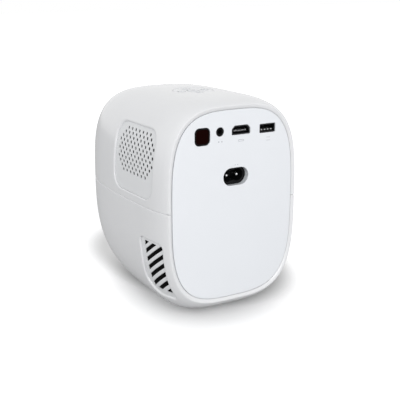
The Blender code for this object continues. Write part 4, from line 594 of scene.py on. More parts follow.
def turned(profile, axis, centre, steps, wave=None):
    """Turn a profile of (radius, place) points round the Y or Z axis, as a closed surface.

    Each point goes round on the cosine and sine of even turns, times its radius. A radius of
    zero is a pole. wave(turns, radius) adds to the radius, as ridges do.
    """
    turns = np.linspace(0.0, 2 * math.pi, steps, endpoint=False)
    points, rows, total = [], [], 0
    for radius, along in profile:
        if radius <= POLE:
            ring = np.array([[centre[0], centre[1], along]])
            rows.append(np.array([total]))
        else:
            reach = radius + (wave(turns, radius) if wave else 0.0)
            ring = np.stack([centre[0] + reach * np.cos(turns), centre[1] + reach * np.sin(turns),
                             np.full(steps, along)], axis=1)
            rows.append(total + np.arange(steps))
        points.append(ring)
        total += len(ring)
    faces = []
    for first, second in zip(rows, rows[1:] + rows[:1]):
        if len(first) > 1 and len(second) > 1:
            faces.append(strip(first, second))
        elif len(first) > 1:
            faces.append(np.stack([first, np.full(steps, second[0]), np.roll(first, -1)], axis=1))
        elif len(second) > 1:
            faces.append(np.stack([np.full(steps, first[0]), second, np.roll(second, -1)], axis=1))
    order = {"Y": (0, 2, 1), "Z": (0, 1, 2)}[axis]
    return np.concatenate(points)[:, order], faces


def flat_place(axis, level, sign):
    """Chart of a flat plate: the inset goes from the level against the sign of the axis."""
    def place(points, inset):
        columns = [points[:, 0], points[:, 1]]
        columns.insert("XYZ".index(axis), np.full(len(points), level - sign * inset))
        return np.stack(columns, axis=1)
    return place


NOISE_RANGE = (0.3, 0.7)
LINE_TONE = 0.88


def node_group(name, inputs, outputs):
    """Start a shader node group and return it with its input and output nodes."""
    group = bpy.data.node_groups.new(name, "ShaderNodeTree")
    for label, kind, value in inputs:
        socket = group.interface.new_socket(label, in_out="INPUT", socket_type=kind)
        socket.default_value = value
    for label, kind in outputs:
        group.interface.new_socket(label, in_out="OUTPUT", socket_type=kind)
    return group, group.nodes.new("NodeGroupInput"), group.nodes.new("NodeGroupOutput")


def shader_node(tree, kind, inputs=(), **settings):
    """A node with its settings and its inputs, which are values or sockets to link."""
    made = tree.nodes.new("ShaderNode" + kind)
    for label, value in settings.items():
        setattr(made, label, value)
    for label, value in dict(inputs).items():
        if isinstance(value, bpy.types.NodeSocket):
            tree.links.new(value, made.inputs[label])
        else:
            made.inputs[label].default_value = value
    return made


def object_place(tree):
    """Object coordinates."""
    return shader_node(tree, "TexCoord").outputs["Object"]


def noise(tree, vector, scale, detail=2.0, roughness=0.6):
    """Noise on the given coordinates, about nought to one."""
    return shader_node(tree, "TexNoise", {"Vector": vector, "Scale": scale, "Detail": detail,
                                          "Roughness": roughness}).outputs["Fac"]


def ranged(tree, value, low, high, source=NOISE_RANGE, blend="LINEAR"):
    """Map a value from its source range to two limits, which are numbers or sockets."""
    inputs = {"Value": value, "From Min": source[0], "From Max": source[1], "To Min": low,
              "To Max": high}
    return shader_node(tree, "MapRange", inputs, interpolation_type=blend).outputs["Result"]


def tinted(tree, colour, factor):
    """Multiply a colour by a grey factor."""
    mix = shader_node(tree, "Mix", {"Factor": 1.0}, data_type="RGBA", blend_type="MULTIPLY")
    first, second = (socket for socket in mix.inputs if socket.type == "RGBA")
    tree.links.new(colour, first)
    tree.links.new(factor, second)
    return next(socket for socket in mix.outputs if socket.type == "RGBA")


def surface_group(name, settings, detail):
    """Node group of a surface: the colour times a tone, uneven roughness and a height.

    detail(group, given) makes the group's own pattern and returns the values that steer the
    tone and the roughness, and the lowest tone.
    """
    inputs = [("Colour", "NodeSocketColor", (0.8, 0.8, 0.8, 1.0)), *settings,
              ("Rough Low", "NodeSocketFloat", 0.4), ("Rough High", "NodeSocketFloat", 0.5)]
    outputs = [("Colour", "NodeSocketColor"), ("Roughness", "NodeSocketFloat"),
               ("Height", "NodeSocketFloat")]
    group, given, out = node_group(name, inputs, outputs)
    given = given.outputs
    patches, grain, lowest = detail(group, given)
    tone = ranged(group, patches, lowest, 1.0)
    rough = ranged(group, grain, given["Rough Low"], given["Rough High"])
    for label, value in (("Colour", tinted(group, given["Colour"], tone)), ("Roughness", rough),
                         ("Height", grain)):
        group.links.new(value, out.inputs[label])
    return group


def moulded_detail(group, given):
    """Moulded surface: soft tone patches, and a fine grain in height and roughness."""
    place = object_place(group)
    patches = noise(group, place, given["Tone Scale"], detail=3.0, roughness=0.5)
    return patches, noise(group, place, given["Grain Scale"]), given["Tone Low"]


def drawn_detail(group, given):
    """Drawn or turned metal: fine lines along one axis, from noise stretched by a mapping."""
    mapping = shader_node(group, "Mapping", {"Vector": object_place(group),
                                             "Scale": given["Line Size"]})
    lines = noise(group, mapping.outputs["Vector"], 1.0)
    return lines, lines, LINE_TONE


MOULDED = surface_group(
    "moulded_surface",
    [("Tone Low", "NodeSocketFloat", 0.97), ("Tone Scale", "NodeSocketFloat", 40.0),
     ("Grain Scale", "NodeSocketFloat", 2500.0)], moulded_detail)
DRAWN = surface_group(
    "drawn_metal", [("Line Size", "NodeSocketVector", (200.0, 4000.0, 4000.0))], drawn_detail)


def node_material(name):
    """A new material with its node tree and its shader."""
    made = bpy.data.materials.new(name)
    made.use_nodes = True
    return made, made.node_tree, made.node_tree.nodes["Principled BSDF"]


def material(name, group, colour, rough, values, relief, constants):
    """A material whose colour, roughness and height come from a surface group.

    The relief is the height in millimetres, and the constants go straight to the shader's own
    sockets.
    """
    made, tree, shader = node_material(name)
    for label, value in constants.items():
        shader.inputs[label].default_value = value
    surface = tree.nodes.new("ShaderNodeGroup")
    surface.node_tree = group
    given = {"Colour": (*colour, 1.0), "Rough Low": rough[0], "Rough High": rough[1], **values}
    for label, value in given.items():
        surface.inputs[label].default_value = value
    surface = surface.outputs
    bump = shader_node(tree, "Bump", {"Strength": 1.0, "Distance": relief * MM,
                                      "Height": surface["Height"]})
    for label, value in (("Normal", bump.outputs["Normal"]), ("Base Color", surface["Colour"]),
                         ("Roughness", surface["Roughness"])):
        tree.links.new(value, shader.inputs[label])
    return made


def moulded(name, colour, rough, tone, grain, relief, patches, constants=()):
    """A moulded plastic, rubber, painted or clear finish."""
    values = {"Tone Low": tone, "Tone Scale": patches, "Grain Scale": grain}
    return material(name, MOULDED, colour, rough, values, relief, dict(constants))


def metal(name, colour, rough, lines, relief=0.004):
    """A bare or plated metal with fine lines."""
    return material(name, DRAWN, colour, rough, {"Line Size": lines}, relief, {"Metallic": 1.0})


SATIN_COAT = {"Coat Weight": 0.85, "Coat Roughness": 0.2}
GLOSS_COAT = {"Coat Weight": 0.6, "Coat Roughness": 0.04}
CLEAR = {"IOR": 1.5, "Transmission Weight": 1.0}
LENS_COATING = {**CLEAR, "Thin Film Thickness": 115.0}

# Colour, lowest and highest roughness, lowest tone, waves of grain in a metre, relief in
# millimetres, waves of tone in a metre, and what the shader takes directly
MOULDED_FINISHES = {
    "casing_white": ((0.768, 0.774, 0.785), (0.32, 0.40), 0.985, 2800.0, 0.012, 30.0, SATIN_COAT),
    "panel_gloss": ((0.795, 0.815, 0.845), (0.10, 0.14), 0.99, 120.0, 0.004, 15.0, GLOSS_COAT),
    "cover_white": ((0.765, 0.775, 0.785), (0.45, 0.56), 0.98, 3200.0, 0.012, 30.0),
    "key_grey": ((0.73, 0.74, 0.76), (0.32, 0.40), 0.96, 2800.0, 0.008, 90.0, SATIN_COAT),
    "pad_white": ((0.75, 0.76, 0.775), (0.30, 0.38), 0.98, 2800.0, 0.008, 60.0, SATIN_COAT),
    "key_mark": ((0.20, 0.20, 0.21), (0.4, 0.5), 0.9, 3000.0, 0.002, 500.0, SATIN_COAT),
    "mark_grey": ((0.42, 0.43, 0.46), (0.4, 0.5), 0.9, 3000.0, 0.002, 500.0),
    "foot_rubber": ((0.028, 0.028, 0.030), (0.72, 0.88), 0.8, 1800.0, 0.03, 200.0),
    "socket_black": ((0.007, 0.007, 0.008), (0.38, 0.5), 0.8, 2200.0, 0.01, 150.0,
                     {"Specular IOR Level": 0.12}),
    "window_dark": ((0.008, 0.0012, 0.0008), (0.05, 0.08), 0.9, 150.0, 0.001, 60.0,
                    {"Specular IOR Level": 0.02}),
    "lens_black": ((0.010, 0.010, 0.011), (0.36, 0.48), 0.85, 2600.0, 0.012, 120.0,
                   {"Specular IOR Level": 0.3}),
    "speaker_black": ((0.022, 0.022, 0.024), (0.6, 0.75), 0.75, 1500.0, 0.03, 150.0),
    # Painted shade: near black with almost no gloss, for the screens behind the covers that stand
    # in for the shade inside
    "shade_screen_black": ((0.003, 0.003, 0.003), (0.8, 0.95), 0.7, 1300.0, 0.05, 300.0,
                     {"Specular IOR Level": 0.05}),
    "board_green": ((0.02, 0.11, 0.05), (0.3, 0.42), 0.6, 900.0, 0.02, 500.0),
    "board_tan": ((0.30, 0.21, 0.09), (0.5, 0.6), 0.75, 1200.0, 0.02, 300.0),
    "board_white": ((0.72, 0.72, 0.70), (0.35, 0.45), 0.9, 1500.0, 0.01, 300.0),
    "transformer_tape": ((0.55, 0.42, 0.08), (0.35, 0.5), 0.85, 900.0, 0.03, 200.0),
    "sleeve_dark": ((0.02, 0.03, 0.08), (0.25, 0.35), 0.85, 1500.0, 0.01, 200.0),
    "emitter_yellow": ((0.75, 0.58, 0.12), (0.25, 0.35), 0.85, 1800.0, 0.02, 400.0),
    "lens_glass": ((0.70, 0.76, 0.86), (0.0, 0.01), 0.995, 60.0, 0.0005, 30.0, LENS_COATING),
    "plate_glass": ((0.9, 0.93, 0.94), (0.02, 0.03), 0.995, 60.0, 0.0005, 30.0, CLEAR),
}

# Colour, lowest and highest roughness, waves in a metre along each axis, and relief where it
# is not the usual one
METAL_FINISHES = {
    "nut_brass": ((0.75, 0.54, 0.24), (0.24, 0.38), (1500.0, 1500.0, 5000.0)),
    "pin_metal": ((0.66, 0.66, 0.67), (0.24, 0.36), (3000.0, 250.0, 3000.0)),
    "sink_aluminium": ((0.72, 0.73, 0.75), (0.3, 0.45), (3000.0, 200.0, 3000.0)),
    "mirror_silver": ((0.92, 0.92, 0.93), (0.01, 0.03), (300.0, 300.0, 300.0), 0.0002),
    "shell_dark": ((0.07, 0.07, 0.075), (0.3, 0.42), (3500.0, 200.0, 3500.0)),
    "screw_steel": ((0.48, 0.48, 0.50), (0.25, 0.4), (2500.0, 300.0, 2500.0)),
}

FINISH = {name: moulded(name, *row) for name, row in MOULDED_FINISHES.items()}
FINISH.update((name, metal(name, *row)) for name, row in METAL_FINISHES.items())


def chart_of_half(side):
    """Chart of one casing half: length along the body, and arc length round its widest section.

    The front edge's quarter circle and the rear edge's quarter ellipse are unrolled into
    the length. Round the rear edge the wall changes to the rim's and falls forward by the
    square of the inset. Returns the placing function, the chart's size, the function from a
    place on the body to the chart, and the lengths of both round stretches.
    """
    turns = np.linspace(0.0, math.pi, CHART_STEPS)
    widest = skin(np.array([WIDEST_Y]), turns, side, 0.0)
    arcs = np.concatenate([[0.0], np.cumsum(np.linalg.norm(np.diff(widest, axis=0), axis=1))])
    front_arc = FRONT_EDGE_ROUND * math.pi / 2
    rear_arc = REAR_EDGE_LENGTH * math.pi / 2
    straight = REAR_Y - REAR_EDGE_LENGTH - FRONT_Y - FRONT_EDGE_ROUND
    length = front_arc + straight + rear_arc

    def place(points, inset):
        v = points[:, 0]
        first = np.clip(v / FRONT_EDGE_ROUND, 0.0, math.pi / 2)
        last = np.clip((v - front_arc - straight) / REAR_EDGE_LENGTH, 0.0, math.pi / 2)
        middle = np.clip(v - front_arc, 0.0, straight)
        y = FRONT_Y + FRONT_EDGE_ROUND * (1 - np.cos(first)) + middle
        y = y + REAR_EDGE_LENGTH * np.sin(last)
        front_in = FRONT_EDGE_ROUND * (1 - np.sin(first))
        rear_share = 1 - np.cos(last)
        wall_share = 1 - rear_share * (1 - RIM_WALL / WALL)
        drawn = front_in + REAR_EDGE_DEPTH * rear_share + inset * wall_share
        spots = skin(y, np.interp(points[:, 1], arcs, turns), side, drawn)
        spots[:, 1] -= RIM_FALL * (inset / WALL) ** 2 * rear_share
        return spots

    def chart(y, turn):
        into = y - FRONT_Y - FRONT_EDGE_ROUND
        last = np.arcsin(np.clip((into - straight) / REAR_EDGE_LENGTH, 0.0, 1.0))
        v = front_arc + np.minimum(into, straight) + last * REAR_EDGE_LENGTH
        return np.stack([v, np.interp(turn, turns, arcs)], axis=1)

    return place, (length, arcs[-1]), chart, (front_arc, rear_arc)


def side_opening(outline, side, flank, chart):
    """An outline in Y and Z on one flank (1 is +X), as an outline in a casing half's chart.

    The turn is the arc sine of the height's share to half the section's power.
    """
    def mapped(growth):
        y, z = outline(growth).T
        width, above, below, upper, lower = body_law(y)
        height, power = (above, upper) if side > 0 else (below, lower)
        lift = GAP / 2
        share = np.clip((np.abs(z - SEAM_Z) - lift) / (height - lift), 0.0, 1.0)
        turn = np.arcsin(share ** (power / 2))
        return chart(y, turn if flank > 0 else math.pi - turn)
    return mapped


def flat_opening(outline, side, chart):
    """An outline in X and Y on the top or the base, as an outline in a casing half's chart.

    The turn is the arc cosine of the width's share to half the section's power.
    """
    def mapped(growth):
        x, y = outline(growth).T
        width, above, below, upper, lower = body_law(y)
        power = upper if side > 0 else lower
        cosine = np.sign(x) * (np.abs(x) / width) ** (power / 2)
        return chart(y, np.arccos(cosine))
    return mapped


def side_edge(outline, flank):
    """Opening of a casing half for the cover in one flank."""
    finer = split_long(outline, OPENING_SPACING)
    return lambda side, chart: (side_opening(finer, side, flank, chart), OPENING_ROLL)


def grille_outline():
    """Outline function of the speaker cover."""
    return box_loop(GRILLE_Y, GRILLE_Z, GRILLE_CORNER, COVER_CORNER_STEPS)


def vent_outline():
    """Outline function of the vent, whose low front corner is the roundest."""
    corners = (VENT_FRONT_CORNER, VENT_CORNER, VENT_CORNER, VENT_CORNER)
    return box_loop(VENT_Y, VENT_Z, corners, COVER_CORNER_STEPS)


def plinth_outline():
    """Outline function of the plinth."""
    return box_loop((-PLINTH_X, PLINTH_X), PLINTH_Y, PLINTH_CORNER, PLINTH_CORNER_STEPS)


def pad_edge(side, chart):
    """Round recess of the control pad in the top, with a collar inside."""
    outline = circle_loop((0.0, PAD_Y), PAD_RADIUS + GAP, WIDE_SIDES)
    collar = [(0.0, PAD_COLLAR_DEPTH), (PAD_COLLAR_WALL, PAD_COLLAR_DEPTH),
              (PAD_COLLAR_WALL, WALL)]
    return flat_opening(outline, side, chart), PAD_RECESS_ROLL, collar


def plinth_edge(side, chart):
    """Opening of the lower half round its plinth."""
    outline = split_long(plinth_outline(), OPENING_SPACING)
    return flat_opening(outline, side, chart), SOFT_ROLL


def casing_half(name, side, openings, node):
    """One casing half with its openings, as a sheet on its own chart."""
    place, (length, across), chart, (front_arc, rear_arc) = chart_of_half(side)
    rear_start = length - rear_arc
    us = np.concatenate([even_places(0.0, front_arc, EDGE_SPACING),
                         even_places(front_arc, rear_start, SHELL_SPACING)[1:],
                         even_places(rear_start, length, EDGE_SPACING)[1:]])
    rim = split_long(box_loop((0.0, length), (0.0, across), 0.0, 1), SHELL_SPACING)
    edges = [(rim, EDGE_ROLL, [(0.0, WALL * share) for share in RIM_SHARES])]
    edges += [edge(side, chart) for edge in openings]
    piece(name, sheet(place, WALL, edges, SHELL_SPACING, us), "casing_white", node=node)


def seam_tongue(word, flank):
    """Bar of rectangular section that follows the body's width along the seam, inside."""
    ys = even_places(*TONGUE_Y, WALL_SPACING)
    width = body_law(ys)[0] - rear_turn(ys)
    (near, far), half = TONGUE_INSETS, TONGUE_HALF_HEIGHT
    rows = [np.stack([flank * (width - inset), ys, np.full_like(ys, SEAM_Z + rise)], axis=1)
            for inset, rise in ((near, -half), (far, -half), (far, half), (near, half))]
    order = np.arange(len(ys) * 4).reshape(-1, 4)
    faces = [strip(first, second) for first, second in zip(order, order[1:])]
    faces += [order[:1, ::-1], order[-1:]]
    piece("seam_tongue_" + word, (np.stack(rows, axis=1).reshape(-1, 3), faces), "cover_white",
          sharp=TONGUE_SHARP)


def casing():
    """Both casing halves, the plinth, and the tongues that close the seam from inside."""
    for name, side, outline, other, node in (
            ("upper_casing", 1, grille_outline(), pad_edge, "upper_shell"),
            ("lower_casing", -1, vent_outline(), plinth_edge, "lower_shell")):
        casing_half(name, side, [side_edge(outline, 1), side_edge(outline, -1), other], node)
    outer = split_long(grown(plinth_outline(), -PLINTH_SLACK), WALL_SPACING)
    edges = [(outer, PLINTH_ROLL)]
    edges += [(circle_loop((x, y), FOOT_RADIUS + GAP, FITTING_SIDES), SOFT_ROLL)
              for x in (-FOOT_X, FOOT_X) for y in FOOT_Y]
    edges.append((circle_loop((0.0, NUT_Y), NUT_RADIUS + GAP, FITTING_SIDES), NUT_HOLE_ROLL))
    piece("plinth", sheet(flat_place("Z", PLINTH_Z, -1), PLINTH_THICKNESS, edges, COARSE_SPACING),
          "casing_white")
    seam_tongue("left", -1)
    seam_tongue("right", 1)


def video_loop():
    """Outline function of the video socket's opening, whose two upper corners are cut off."""
    left, right = around(VIDEO_X, VIDEO_HALF)
    cut, cut_z = VIDEO_CHAMFER, VIDEO_TOP_Z - VIDEO_CHAMFER
    return polygon_loop([(left, VIDEO_LOW_Z), (right, VIDEO_LOW_Z), (right, cut_z),
                         (right - cut, VIDEO_TOP_Z), (left + cut, VIDEO_TOP_Z), (left, cut_z)],
                        VIDEO_CORNER)


def window_loop(steps, spacing):
    """Outline function of the remote window, with that many steps in each corner."""
    box = box_loop(around(WINDOW_X, WINDOW_HALF), around(WINDOW_Z, WINDOW_HALF), WINDOW_CORNER,
                   steps)
    return split_long(box, spacing)


def pillow_place(edge_inset):
    """Chart of the rear panel, whose face falls away softly towards its edge.

    With f the p-th root of (x/w)^p + (z/h)^p, the way to the edge is (1 - f) over the length
    of f's gradient, and the fall is the square of the share still left of the pillow's width.
    """
    width, above, below, upper, lower = body_law(np.array([REAR_Y]))

    def place(points, inset):
        x, z = np.abs(points[:, 0]), points[:, 1] - SEAM_Z
        up = z > 0
        half = width - edge_inset
        height = np.where(up, above, below) - edge_inset
        power = np.where(up, upper, lower)
        z = np.abs(z)
        f = np.maximum((x / half) ** power + (z / height) ** power, LEAST_SHARE) ** (1 / power)
        slope = np.hypot(x ** (power - 1) / half ** power, z ** (power - 1) / height ** power)
        slope = np.maximum(slope * f ** (1 - power), LEAST_SLOPE)
        left = np.clip(1 - (1 - f) / slope / PILLOW_WIDTH, 0.0, 1.0)
        fall = PILLOW_DROP * left ** 2 * (1 - min(inset / PANEL_THICKNESS, 1.0))
        return np.stack([points[:, 0], PANEL_Y - inset - fall, points[:, 1]], axis=1)
    return place


def rear_panel():
    """Glossy rear panel with its openings and the inlet's collar, and the ledge behind it."""
    inner = REAR_EDGE_DEPTH + RIM_WALL
    edge_inset = inner + REAR_GROOVE
    data = box_loop(around(DATA_X, DATA_HALF), (DATA_LOW_Z, DATA_TOP_Z), DATA_CORNER,
                    DATA_CORNER_STEPS)
    inlet = box_loop(around(INLET_X, INLET_HALF_WIDTH), around(INLET_Z, INLET_HALF_HEIGHT),
                     INLET_CORNER, INLET_CORNER_STEPS)
    collar = [(0.0, INLET_COLLAR_DEPTH), (INLET_COLLAR_WALL, INLET_COLLAR_DEPTH),
              (INLET_COLLAR_WALL, PANEL_THICKNESS)]
    openings = (grown(split_long(video_loop(), PANEL_EDGE_SPACING), GAP),
                grown(split_long(data, PANEL_EDGE_SPACING), GAP),
                circle_loop((JACK_X, JACK_Z), JACK_RADIUS + GAP, SMALL_SIDES),
                grown(window_loop(WINDOW_OPENING_STEPS, PANEL_EDGE_SPACING), GAP))
    edges = [(section_loop(REAR_Y, edge_inset, PANEL_POINTS), PANEL_ROLL)]
    edges += [(outline, OPENING_EDGE_ROLL) for outline in openings]
    edges.append((split_long(inlet, PANEL_EDGE_SPACING), INLET_ROLL, collar))
    piece("socket_panel", sheet(pillow_place(edge_inset), PANEL_THICKNESS, edges, PANEL_SPACING),
          "panel_gloss", node="rear_panel")
    ledge = [(section_loop(REAR_Y, inset, PANEL_POINTS), HAIR_ROLL)
             for inset in (inner - LEDGE_LAP[0], edge_inset - LEDGE_LAP[1])]
    place = flat_place("Y", REAR_Y - LEDGE_SUNK, 1)
    piece("panel_ledge", sheet(place, LEDGE_THICKNESS, ledge, COARSE_SPACING), "casing_white")


def front_panel():
    """Front panel with the round lens opening, which rolls in softly."""
    drawn = float(roll_in(FACE_Y - FRONT_Y, FRONT_EDGE_ROUND))
    spare = drawn - float(roll_in(FACE_Y + FACE_STEP - FRONT_Y, FRONT_EDGE_ROUND))
    outer = section_loop(FACE_Y, WALL + FRONT_GROOVE + drawn, PANEL_POINTS)
    edges = [(outer, FACE_ROLL, [(-spare, FACE_STEP), (-spare, PANEL_THICKNESS)]),
             (circle_loop((0.0, LENS_Z), APERTURE_RADIUS, LENS_SIDES), APERTURE_ROLL)]
    piece("lens_panel", sheet(flat_place("Y", FACE_Y, -1), PANEL_THICKNESS, edges, FACE_SPACING),
          "panel_gloss", node="front_panel")


def insert_place(flank, behind=0.0):
    """Chart of a plate that is sunk in the body's side: Y and Z give the place.

    X is the half width that the body has there when it is drawn in by the plate's depth.
    """
    def place(points, inset):
        y, z = points.T
        return np.stack([flank * side_x(y, z, INSERT_SUNK + (inset + behind)), y, z], axis=1)
    return place


def clip(polygon, axis, limit, sign):
    """Cut a convex polygon at one limit of an axis and keep the side that the sign names."""
    result = []
    for k, point in enumerate(polygon):
        following = polygon[(k + 1) % len(polygon)]
        a = sign * (point[axis] - limit)
        b = sign * (following[axis] - limit)
        if a >= 0:
            result.append(point)
        if a * b < 0:
            share = a / (a - b)
            result.append(tuple(p + share * (f - p) for p, f in zip(point, following)))
    return result


def slot_polygons():
    """Slanted slots that rise towards the rear, cut off by the field's low and high edges."""
    drop = (SLOT_Y[1] - SLOT_Y[0]) * SLOT_SLOPE
    polygons = []
    for k in range(SLOT_COUNT):
        top = SLOT_TOP_Z - k * SLOT_PITCH
        lean = SLOT_LEAN * max(top - drop - SLOT_Z[0], 0.0)
        front, low = SLOT_Y[0] - lean, top - drop - lean * SLOT_SLOPE
        slot = [(front, low - SLOT_HEIGHT), (SLOT_Y[1], top - SLOT_HEIGHT), (SLOT_Y[1], top),
                (front, low)]
        slot = clip(clip(slot, 1, SLOT_Z[1], -1), 1, SLOT_Z[0], 1)
        slot = [here for here, following in zip(slot, slot[1:] + slot[:1])
                if math.dist(here, following) > SLOT_SHORTEST_EDGE]
        if len(slot) > 2:
            polygons.append(slot)
    return polygons


def side_covers():
    """Speaker covers and slotted vents on both flanks, with black screens behind them as painted
    shade.
    """
    holes = []
    for k, count in enumerate(HOLE_ROWS):
        for i in range(count):
            centre = (HOLE_CENTRE_Y + (i - (count - 1) / 2) * HOLE_PITCH_Y,
                      HOLE_TOP_Z - k * HOLE_PITCH_Z)
            holes.append((circle_loop(centre, HOLE_RADIUS, HOLE_SIDES), HOLE_ROLL))
    slots = [(split_long(polygon_loop(slot, SLOT_CORNER), WALL_SPACING), SMALL_ROLL)
             for slot in slot_polygons()]
    for word, flank in (("left", -1), ("right", 1)):
        for name, outline, openings, node in (
                ("speaker_cover_", grille_outline(), holes, "speaker_grille_"),
                ("vent_cover_", vent_outline(), slots, "side_vent_")):
            outer = (grown(split_long(outline, OPENING_SPACING), COVER_LAP), FINE_ROLL)
            piece(name + word, sheet(insert_place(flank), COVER_THICKNESS, [outer] + openings,
                                     COVER_SPACING), "cover_white", node=node + word)
        # Black screens behind the covers: painted shade, so the holes and slots read dark
        for name, outline in (("speaker_shade_screen_", grille_outline()),
                              ("vent_shade_screen_", vent_outline())):
            outer = (grown(split_long(outline, WALL_SPACING), -SCREEN_SHORT), FINE_ROLL)
            piece(name + word, sheet(insert_place(flank, SCREEN_BEHIND), SCREEN_THICKNESS,
                                     [outer], SCREEN_SPACING), "shade_screen_black")


def key_profile(radius):
    """Profile of a key: a flange, a round upper edge and a dish in its top.

    The dish's depth falls off as the square of one minus the squared way to its rim.
    """
    flange, flange_z = radius + KEY_FLANGE_WIDTH, KEY_FOOT_Z + KEY_FLANGE
    rim = rounded([(0.0, KEY_FOOT_Z, 0.0), (flange, KEY_FOOT_Z, SMALL_ROLL),
                   (flange, flange_z, SMALL_ROLL), (radius, flange_z, 0.0),
                   (radius, KEY_TOP_Z, KEY_ROUND), (0.0, KEY_TOP_Z, 0.0)])
    dish = radius - KEY_DISH_RIM
    radii = dish * (1 - np.linspace(0.0, 1.0, KEY_DISH_STEPS + 1)[1:])
    dished = [(r, KEY_TOP_Z - KEY_DISH * (1 - (r / dish) ** 2) ** 2) for r in radii]
    return np.concatenate([rim[:-1], dished])


def control_pad():
    """Sunk round plate with five keys, each with a shallow dish and its own generic mark."""
    edges = [(circle_loop((0.0, PAD_Y), PAD_RADIUS, WIDE_SIDES), SOFT_ROLL)]
    edges += [(circle_loop((x, PAD_Y + y), radius + GAP, SMALL_SIDES), SMALL_ROLL)
              for name, body, x, y, radius in KEYS]
    piece("key_plate", sheet(flat_place("Z", PAD_TOP_Z, 1), PAD_THICKNESS, edges, PAD_SPACING),
          "pad_white", node="control_pad")
    for name, body, x, y, radius in KEYS:
        piece(name + "_cap", turned(key_profile(radius), "Z", (x, PAD_Y + y), ROUND_SIDES),
              "key_grey", body, node=name)
        piece(name + "_mark", ink(key_mark(x, y), flat_place("Z", KEY_MARK_Z, 1)), "key_mark",
              body, weighted=False)


def bar(centre, size, turn):
    """A small flat bar as an outline function, turned about its centre."""
    half = np.array(size) / 2
    cosine, sine = math.cos(turn), math.sin(turn)
    base = polygon_loop([(-half[0], -half[1]), (half[0], -half[1]), (half[0], half[1]),
                         (-half[0], half[1])], BAR_CORNER, BAR_CORNER_STEPS)
    rotate = np.array([[cosine, sine], [-sine, cosine]])
    return lambda growth: base(growth) @ rotate + np.array(centre)


def ring_shape(centre, radii, steps):
    """A flat ring between two radii, as an outline with a hole."""
    return [circle_loop(centre, radius, steps) for radius in radii]


def ink(shapes, place):
    """Thin raised ink: each shape is an outer outline and perhaps one hole in it."""
    return several([sheet(place, INK_THICKNESS, [(outline, INK_ROLL) for outline in shape],
                          INK_SPACING) for shape in shapes])


def key_mark(x, y):
    """A stroke in a ring for the middle key, else a chevron that points away from it."""
    centre = np.array((x, PAD_Y + y))
    if x == y == 0.0:
        return [ring_shape(centre, POWER_RING, SMALL_SIDES),
                [bar(centre + (0.0, POWER_STROKE_UP), POWER_STROKE, 0.0)]]
    away = math.atan2(y, x)
    shapes = []
    for turn in (away - CHEVRON_ANGLE, away + CHEVRON_ANGLE):
        middle = centre + [CHEVRON_FORWARD * way(away) + CHEVRON_SPREAD * way(turn)
                           for way in (math.cos, math.sin)]
        shapes.append([bar(middle, CHEVRON_BAR, turn)])
    return shapes


def panel_marks():
    """Generic marks beside the sockets, in thin grey ink on the rear panel."""
    shapes = [ring_shape(centre, RING_MARK_RADII, TINY_SIDES) for centre in RING_MARKS]
    shapes.append([box_loop(us, vs, corner, FRAME_CORNER_STEPS) for us, vs, corner in FRAME_MARK])
    shapes += [[bar(*mark)] for mark in BAR_MARKS]
    piece("panel_marks", ink(shapes, flat_place("Y", PANEL_Y + INK_PROUD, 1)), "mark_grey",
          weighted=False)


def figure_eight(radius, half_spacing, waist, count):
    """Outline function of two joined circles with a drawn-in waist.

    The half height is the circle's, less a smooth dip that leaves the waist halfway between
    the two centres.
    """
    def outline(growth):
        reach = half_spacing + radius + growth
        turns = np.linspace(0.0, 2 * math.pi, FIGURE_STEPS, endpoint=False)
        x = reach * np.cos(turns)
        away = np.clip(np.abs(x) - half_spacing, 0.0, None)
        between = np.clip(1 - np.abs(x) / half_spacing, 0.0, 1.0)
        ends = np.sqrt(np.clip((radius + growth) ** 2 - away ** 2, 0.0, None))
        dip = (radius - waist) * between ** 2 * (3 - 2 * between)
        z = np.sign(np.sin(turns)) * (ends - dip)
        loop = np.stack([INLET_X + x, INLET_Z + z], axis=1)
        return even_loop(loop, count)
    return outline


def mains_inlet():
    """Inlet insert with a floor behind its cavity, and two pins with round tips."""
    half_width = PIN_SPACING / 2 + INLET_CAVITY_RADIUS - INLET_BODY_TRIM + INLET_BODY_WALL
    half_height = INLET_CAVITY_RADIUS + INLET_BODY_WALL
    body = split_long(box_loop(around(INLET_X, half_width), around(INLET_Z, half_height),
                               INLET_BODY_WALL, INLET_BODY_STEPS), WALL_SPACING)
    cavity = figure_eight(INLET_CAVITY_RADIUS - INLET_CAVITY_TRIM, PIN_SPACING / 2,
                          INLET_CAVITY_WAIST, INLET_CAVITY_POINTS)
    cup = sheet(flat_place("Y", INLET_FRONT_Y, 1), INLET_BODY_DEPTH,
                [(body, SOFT_ROLL), (cavity, INLET_CAVITY_ROLL)], WALL_SPACING)
    bottom = sheet(flat_place("Y", INLET_FRONT_Y - INLET_CAVITY_DEPTH, 1), INLET_FLOOR,
                   [(grown(cavity, INLET_FLOOR_LAP), FINE_ROLL)], WALL_SPACING)
    piece("inlet_insert", several([cup, bottom]), "socket_black", node="mains_inlet")
    foot_y, tip_y = INLET_FRONT_Y - INLET_CAVITY_DEPTH + GAP, PIN_TIP_Y - PIN_RADIUS
    turns = np.linspace(0.0, math.pi / 2, PIN_TIP_STEPS + 1)[1:-1]
    tip = [(PIN_RADIUS * math.cos(t), PIN_TIP_Y - PIN_RADIUS * (1 - math.sin(t))) for t in turns]
    profile = [(0.0, foot_y), (PIN_RADIUS, foot_y), (PIN_RADIUS, tip_y), *tip, (0.0, PIN_TIP_Y)]
    for word, side in (("left", -1), ("right", 1)):
        centre = (INLET_X + side * PIN_SPACING / 2, INLET_Z)
        piece("inlet_contact_" + word, turned(profile, "Y", centre, TINY_SIDES), "pin_metal",
              node="inlet_pin_" + word)


